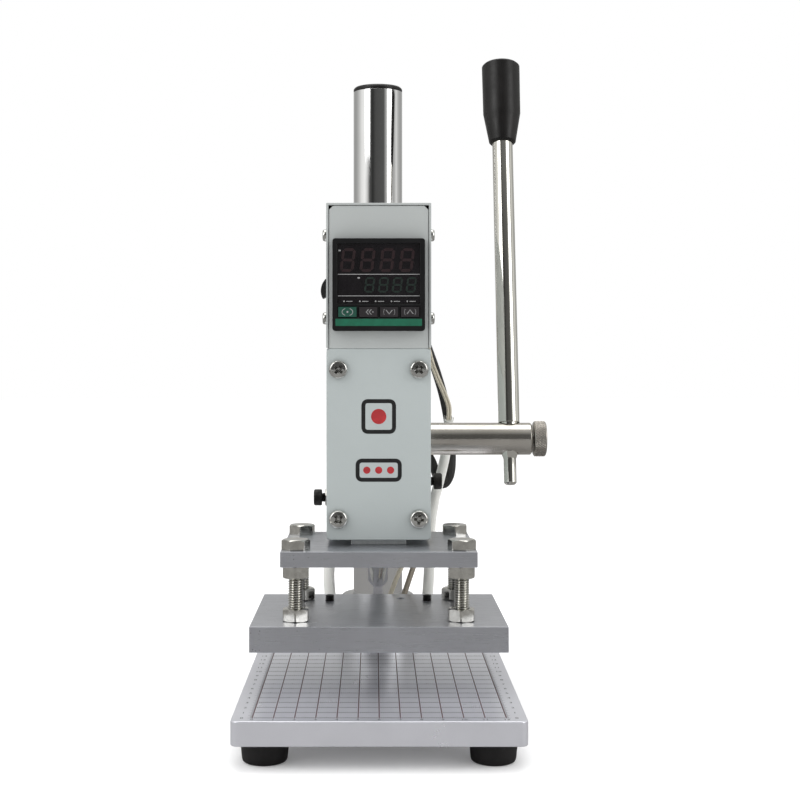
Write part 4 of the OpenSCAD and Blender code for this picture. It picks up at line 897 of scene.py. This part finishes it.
def make_cross_screws():
    """Screws of the front cover and the lead clip, and the smaller ones of the box."""
    rng = random.Random(11)
    cover_x, cover_inset, case_inset = 21, 11, 13
    clip_x, clip_z, clip_turn = -9, 110, 20
    big_h, small_r = 3.4, 3.2

    shape = Shape()
    mesh = pan_mesh(10, big_h)
    low, high = corner("front_cover")
    for x in (-cover_x, cover_x):
        for z in (low.z + cover_inset, high.z - cover_inset):
            pan_screw(shape, mesh, at((x, low.y, z), (0, -1, 0), rng.uniform(0, 90)), 5, 11)
    clip_y = corner("pan_screws")[1].y - big_h
    pan_screw(shape, mesh, at((clip_x, clip_y, clip_z), (0, 1, 0), clip_turn), 5, 11)
    build("cross_screws", shape, "zinc_steel", "head", 32, ("pan_screws",))

    shape = Shape()
    mesh = pan_mesh(2 * small_r, 2.4)
    low, high = corner("box_cover")
    screws_low, screws_high = corner("box_screws")
    for side in (-1, 1):
        for y in (low.y + case_inset, high.y - case_inset):
            for z in (screws_low.z + small_r, screws_high.z - small_r):
                place = at((side * high.x, y, z), (side, 0, 0), rng.uniform(0, 90))
                pan_screw(shape, mesh, place, 3, 4.4)
    build("case_screws", shape, "zinc_steel", "head", 32, ("box_screws",))


def make_levelling_bolts():
    """M8 bolts from the upper plate into the heating plate, each with a nut on either plate."""
    across, head_h, nut_h, bite = 13, 5.3, 6.5, 10.5
    reach_x, reach_y = 42.5, 32.5
    turns = (8, 22, -14, 30)
    low, high = corner("upper_plate")
    hot_top = corner("heating_plate")[1].z
    mid_y = (low.y + high.y) / 2
    places = [(sx * reach_x, mid_y + sy * reach_y) for sx in (-1, 1) for sy in (-1, 1)]
    bolts, nuts = Shape(), Shape()
    for (x, y), bolt_turn, nut_turn in zip(places, turns, reversed(turns)):
        place = at((x, y, 0), turn=bolt_turn)
        hex_solid(bolts, place, across, high.z, high.z + head_h, crown=0.35)
        threaded(bolts, at((x, y, 0)), 8, 1.25, hot_top - bite, high.z + 0.5)
        for z in (hot_top, low.z - nut_h):
            hex_solid(nuts, at((x, y, 0), turn=nut_turn), across, z, z + nut_h, both=True, bore=4.02)
    build("hex_bolts", bolts, "zinc_bolt", "ram", 32, ("levelling_bolts",))
    build("hex_nuts", nuts, "zinc_bolt", "ram", 32, ("levelling_nuts",))


def make_lock_screws():
    """M6 screws with lock nuts that clamp the head on the column from both sides."""
    column_y = 92
    tip, under_head, nut_from, nut_to = 15.3, 34.5, 27.25, 32.45
    screws, lock_nuts = Shape(), Shape()
    for side, z in ((-1, 84), (1, 94)):
        place = at((0, column_y, z), (side, 0, 0), 10)
        threaded(screws, place, 6, 1.0, tip, under_head)
        socket_screw(screws, at((side * under_head, column_y, z), (side, 0, 0), 15), 10, 5)
        hex_solid(lock_nuts, place, 10, nut_from, nut_to, both=True, bore=3.02)
    build("clamp_screws", screws, "black_steel", "head", 32, ("lock_screws",))
    build("clamp_nuts", lock_nuts, "zinc_bolt", "head", 32, ("lock_nuts",))


def make_grub_screws():
    """M5 grub screws that hold the heaters in their bores."""
    screws = Shape()
    low, high = corner("heater_screws")
    top = high.z
    for x in (-27, 27):
        place = at((x, (low.y + high.y) / 2, 0))
        threaded(screws, place, 5, 0.8, low.z, top - 0.4)
        screws.turned([(top - 0.5, 0), (top - 0.5, 2.35), (top - 0.3, 2.45), (top, 2.1), (top, 1.5),
                       (top - 0.2, hexagon(2.5)), (top - 2, hexagon(2.5)), (top - 2, 0)], place, 48)
    build("grub_screws", screws, "black_steel", "ram", 32, ("heater_screws",))


make_cross_screws()
make_levelling_bolts()
make_lock_screws()
make_grub_screws()


# ------------------------------------------------------------------ knob

def diamonds(radius, depth, count, lead, z):
    """Radius of a crossed knurl at height z, by angle."""
    def wave(turns):
        return abs(turns % 1.0 - 0.5) * 2

    def profile(a):
        around = count * a / (2 * math.pi)
        return radius - depth * max(wave(around + lead * z), wave(around - lead * z)) ** 1.5
    return profile


def make_knob():
    """Round nut with a diamond knurl and a turned face."""
    low, high = corner("clamp_knob")
    place = at((low.x, (low.y + high.y) / 2, (low.z + high.z) / 2), (1, 0, 0))
    wide, radius = high.x - low.x, (high.z - low.z) / 2
    depth, count, lead, steps = 0.42, 44, 0.55, 22
    rim, bore_r, dish_r, dish = 0.7, 3.1, 5.2, 0.3
    edge = [(0, radius - 1.1), (0.25, radius - 0.6), (rim, radius - 0.35)]
    band = wide - 2 * rim
    rings = [(0, bore_r)] + edge
    for k in range(steps + 1):
        share = k / steps
        rings.append((rim + 0.05 + (band - 0.1) * share,
                      diamonds(radius, depth, count, lead, rim + band * share)))
    rings += [(wide - z, r) for z, r in reversed(edge)]
    rings += [(wide, dish_r), (wide - dish, dish_r - 0.4), (wide - dish, bore_r), (0, bore_r)]
    shape = Shape().turned(rings, place, count * 6)
    build("knurled_knob", shape, "knurl_steel", "knob", 32, ("clamp_knob",))


make_knob()


# ------------------------------------------------------------------ grid on the base

# How far printed ink stands off its surface, in millimetres
PRINT_LIFT = 0.02


def digit_outlines():
    """Flat meshes of the ruler's numbers, by text."""
    made = {}
    for number in range(25):
        curve = bpy.data.curves.new("number", "FONT")
        curve.body = str(number)
        curve.align_x = "CENTER"
        curve.align_y = "CENTER"
        curve.resolution_u = 3
        holder = bpy.data.objects.new("number", curve)
        bpy.context.scene.collection.objects.link(holder)
        mesh = bpy.data.meshes.new_from_object(holder.evaluated_get(bpy.context.evaluated_depsgraph_get()))
        made[number] = ([v.co.copy() for v in mesh.vertices], [list(p.vertices) for p in mesh.polygons])
        bpy.data.objects.remove(holder)
    return made


def make_grid():
    """Centimetre grid with millimetre ticks and figures, printed round the column's seat."""
    low, high = corner("base_plate")
    lift = high.z + PRINT_LIFT
    first_y = low.y + 6.6
    columns, rows, pitch = 12, 23, 10
    left, right = -60, 60
    line, thin, hair = 0.25, 0.15, 0.12
    seat_low, seat_high = corner("column_seat")
    seat_mid = (seat_low + seat_high) / 2
    seat_r = (seat_high.x - seat_low.x) / 2 + 0.3

    def rect(shape, x0, y0, x1, y1):
        shape.add([(x0, y0, lift), (x1, y0, lift), (x1, y1, lift), (x0, y1, lift)], [[0, 1, 2, 3]])

    def clear(x, y):
        return math.hypot(x - seat_mid.x, y - seat_mid.y) > seat_r

    red, grey = Shape(), Shape()
    for k in range(columns + 1):
        x = left + pitch * k
        for step in range(pitch * rows):
            y = first_y + step
            if clear(x, y) and clear(x, y + 1):
                rect(red, x - line, y, x + line, y + 1)
    for r in range(rows + 1):
        y = first_y + pitch * r
        for k in range(pitch * columns):
            x = left + k
            if not clear(x, y) or not clear(x + 1, y):
                continue
            rect(grey, x, y - hair, x + 1, y + hair)
            tall = 2.0 if k % pitch == pitch / 2 else 1.4
            if k % pitch:
                rect(grey, x - thin, y, x + thin, y + tall)
    for side, x in ((-1, left), (1, right)):
        for k in range(pitch * rows + 1):
            long = 2.2 if k % 5 == 0 else 1.2
            y = first_y + k
            rect(grey, min(x, x + side * long), y - 0.14, max(x, x + side * long), y + 0.14)
    build("grid_lines", red, "ink_red", "base")
    build("grid_ticks", grey, "ink_grey", "base")

    outlines = digit_outlines()
    numbers = Shape()

    def write(number, x, y, size):
        verts, faces = outlines[number]
        numbers.add([(x + v.x * size, y + v.y * size, lift) for v in verts], faces)
    for r in range(rows + 1):
        for x in (left - 5.0, right + 5.0):
            write(r, x, first_y + pitch * r, 3.4)
    for k in range(columns + 1):
        write(k, left + pitch * k, first_y - 2.8, 3.2)
    build("grid_numbers", numbers, "ink_black", "base")


make_grid()


# ------------------------------------------------------------------ controller face and marks

SEGMENTS = {"a": ((0, 2), (1, 2)), "b": ((1, 2), (1, 1)), "c": ((1, 1), (1, 0)), "d": ((0, 0), (1, 0)),
            "e": ((0, 0), (0, 1)), "f": ((0, 1), (0, 2)), "g": ((0, 1), (1, 1))}


def seven_segment(shape, x0, z0, wide, tall, thick, lift, lean=0.12):
    """One digit with all its segments, leaning a little."""
    for (ax, az), (bx, bz) in SEGMENTS.values():
        a = Vector((x0 + ax * wide, z0 + az * tall / 2))
        b = Vector((x0 + bx * wide, z0 + bz * tall / 2))
        along = (b - a).normalized()
        side = Vector((along.y, -along.x)) * thick / 2
        tip = along * thick / 2
        gap = along * thick * 0.12
        a, b = a + gap, b - gap
        points = [a, a + tip + side, b - tip + side, b, b - tip - side, a + tip - side]
        shape.flat([(p.x + lean * (p.y - z0), p.y) for p in points], lift)


def ring_path(x, z, radius, start=0, end=360, n=48):
    """Points round an arc, closed if it is a whole turn."""
    whole = end - start >= 360
    count = n if whole else n + 1
    return [(x + radius * math.cos(math.radians(start + (end - start) * i / n)),
             z + radius * math.sin(math.radians(start + (end - start) * i / n))) for i in range(count)]


def make_display():
    """Unlit figures with a faint painted glow, rules, lamps and dashes printed on the display window."""
    glass_low = corner("display_window")[0]
    bezel_low, bezel_high = corner("controller_bezel")
    mid_x = (bezel_low.x + bezel_high.x) / 2
    face = glass_low.y - PRINT_LIFT
    red, green, pale = Shape(), Shape(), Shape()
    for k in range(4):
        seven_segment(red, mid_x - 19.5 + 10.2 * k, 215.4, 5.7, 10.8, 1.5, face)
        seven_segment(green, mid_x - 7.2 + 7.2 * k, 204.4, 4.1, 7.0, 1.0, face)
    rules = [(0, 213.4, 21.2, 0.16), (0, 202.2, 21.2, 0.16)]
    flags = [(-20.3, 225.75, 0.6, 0.35), (-10.4, 211.55, 0.6, 0.35)]
    lamps = [(-18.0 + 8.2 * k, 199.4) for k in range(5)]
    dashes = [(x + 2.8, z - 0.025, 1.6, 0.175) for x, z in lamps]
    for x, z, half_w, half_h in rules + flags + dashes:
        pale.flat(oblong(x, z, half_w, half_h), face)
    for x, z in lamps:
        pale.flat(ring_path(x, z, 0.42, n=10), face)
    build("digits_upper", red, "digit_red", "head")
    build("digits_lower", green, "digit_green", "head")
    build("panel_print", pale, "print_pale", "head")

    front = bezel_low.y - PRINT_LIFT
    strip = Shape().flat(rounded(oblong(0, bezel_low.z + 4.45, 22.4, 1.85), 0.3, 3), front)
    build("green_strip", strip, "print_green", "head")


def set_symbol(shape, x, z, lift):
    """A dot between two round brackets, set a little wide."""
    for start in (115, -65):
        arc = ring_path(x, z, 1.9, start, start + 130, 14)
        shape.band([(x + (px - x) * 1.45, pz) for px, pz in arc], 0.3, lift, closed=False)
    shape.flat(ring_path(x, z, 0.5, n=12), lift)


def shift_symbol(shape, x, z, lift):
    """Two arrowheads to the left and a dot."""
    reach, rise = 1.2, 1.3
    for tip in (x - 1.1, x + 0.4):
        shape.band([(tip + reach, z + rise), (tip, z), (tip + reach, z - rise)], 0.34, lift, closed=False)
    shape.flat(ring_path(x + 2.4, z, 0.35, n=10), lift)


def step_symbol(shape, x, z, lift, way):
    """An arrowhead up or down between two shallow brackets."""
    shape.band([(x - 1.6, z - way), (x, z + 1.1 * way), (x + 1.6, z - way)], 0.36, lift, closed=False)
    for middle in (0, 180):
        shape.band(ring_path(x, z, 2.9, middle - 32, middle + 32, 8), 0.16, lift, closed=False)


def make_key_symbols():
    nodes["key_1"].material_slots[0].material = look("key_green")
    symbols = (set_symbol, shift_symbol, step_symbol, step_symbol)
    for k, (symbol, extra) in enumerate(zip(symbols, ((), (), (-1,), (1,))), start=1):
        low, high = corner(f"key_{k}")
        shape = Shape()
        symbol(shape, (low.x + high.x) / 2, (low.z + high.z) / 2, low.y - PRINT_LIFT, *extra)
        build(f"key_{k}_symbol", shape, "print_pale", f"key_{k}")


def make_marks():
    """Two plain printed marks on the front cover: a square with a dot, and a bar with three dots."""
    front = corner("front_cover")[0].y - PRINT_LIFT
    stroke, dot_r, pitch = 2.1, 1.9, 6.2
    square_z, bar_z = 139.5, 111.5
    black, red = Shape(), Shape()
    for z, half_w, half_h in ((square_z, 8.0, 8.0), (bar_z, 11.0, 5.0)):
        black.band(rounded(oblong(0, z, half_w, half_h), 2.6, 8), stroke, front)
    red.flat(ring_path(0, square_z, 2.1 * dot_r, n=48), front)
    for k in (-1, 0, 1):
        red.flat(ring_path(pitch * k, bar_z, dot_r, n=32), front)
    build("cover_marks_black", black, "ink_black", "head")
    build("cover_marks_red", red, "mark_red", "head")


make_display()
make_key_symbols()
make_marks()
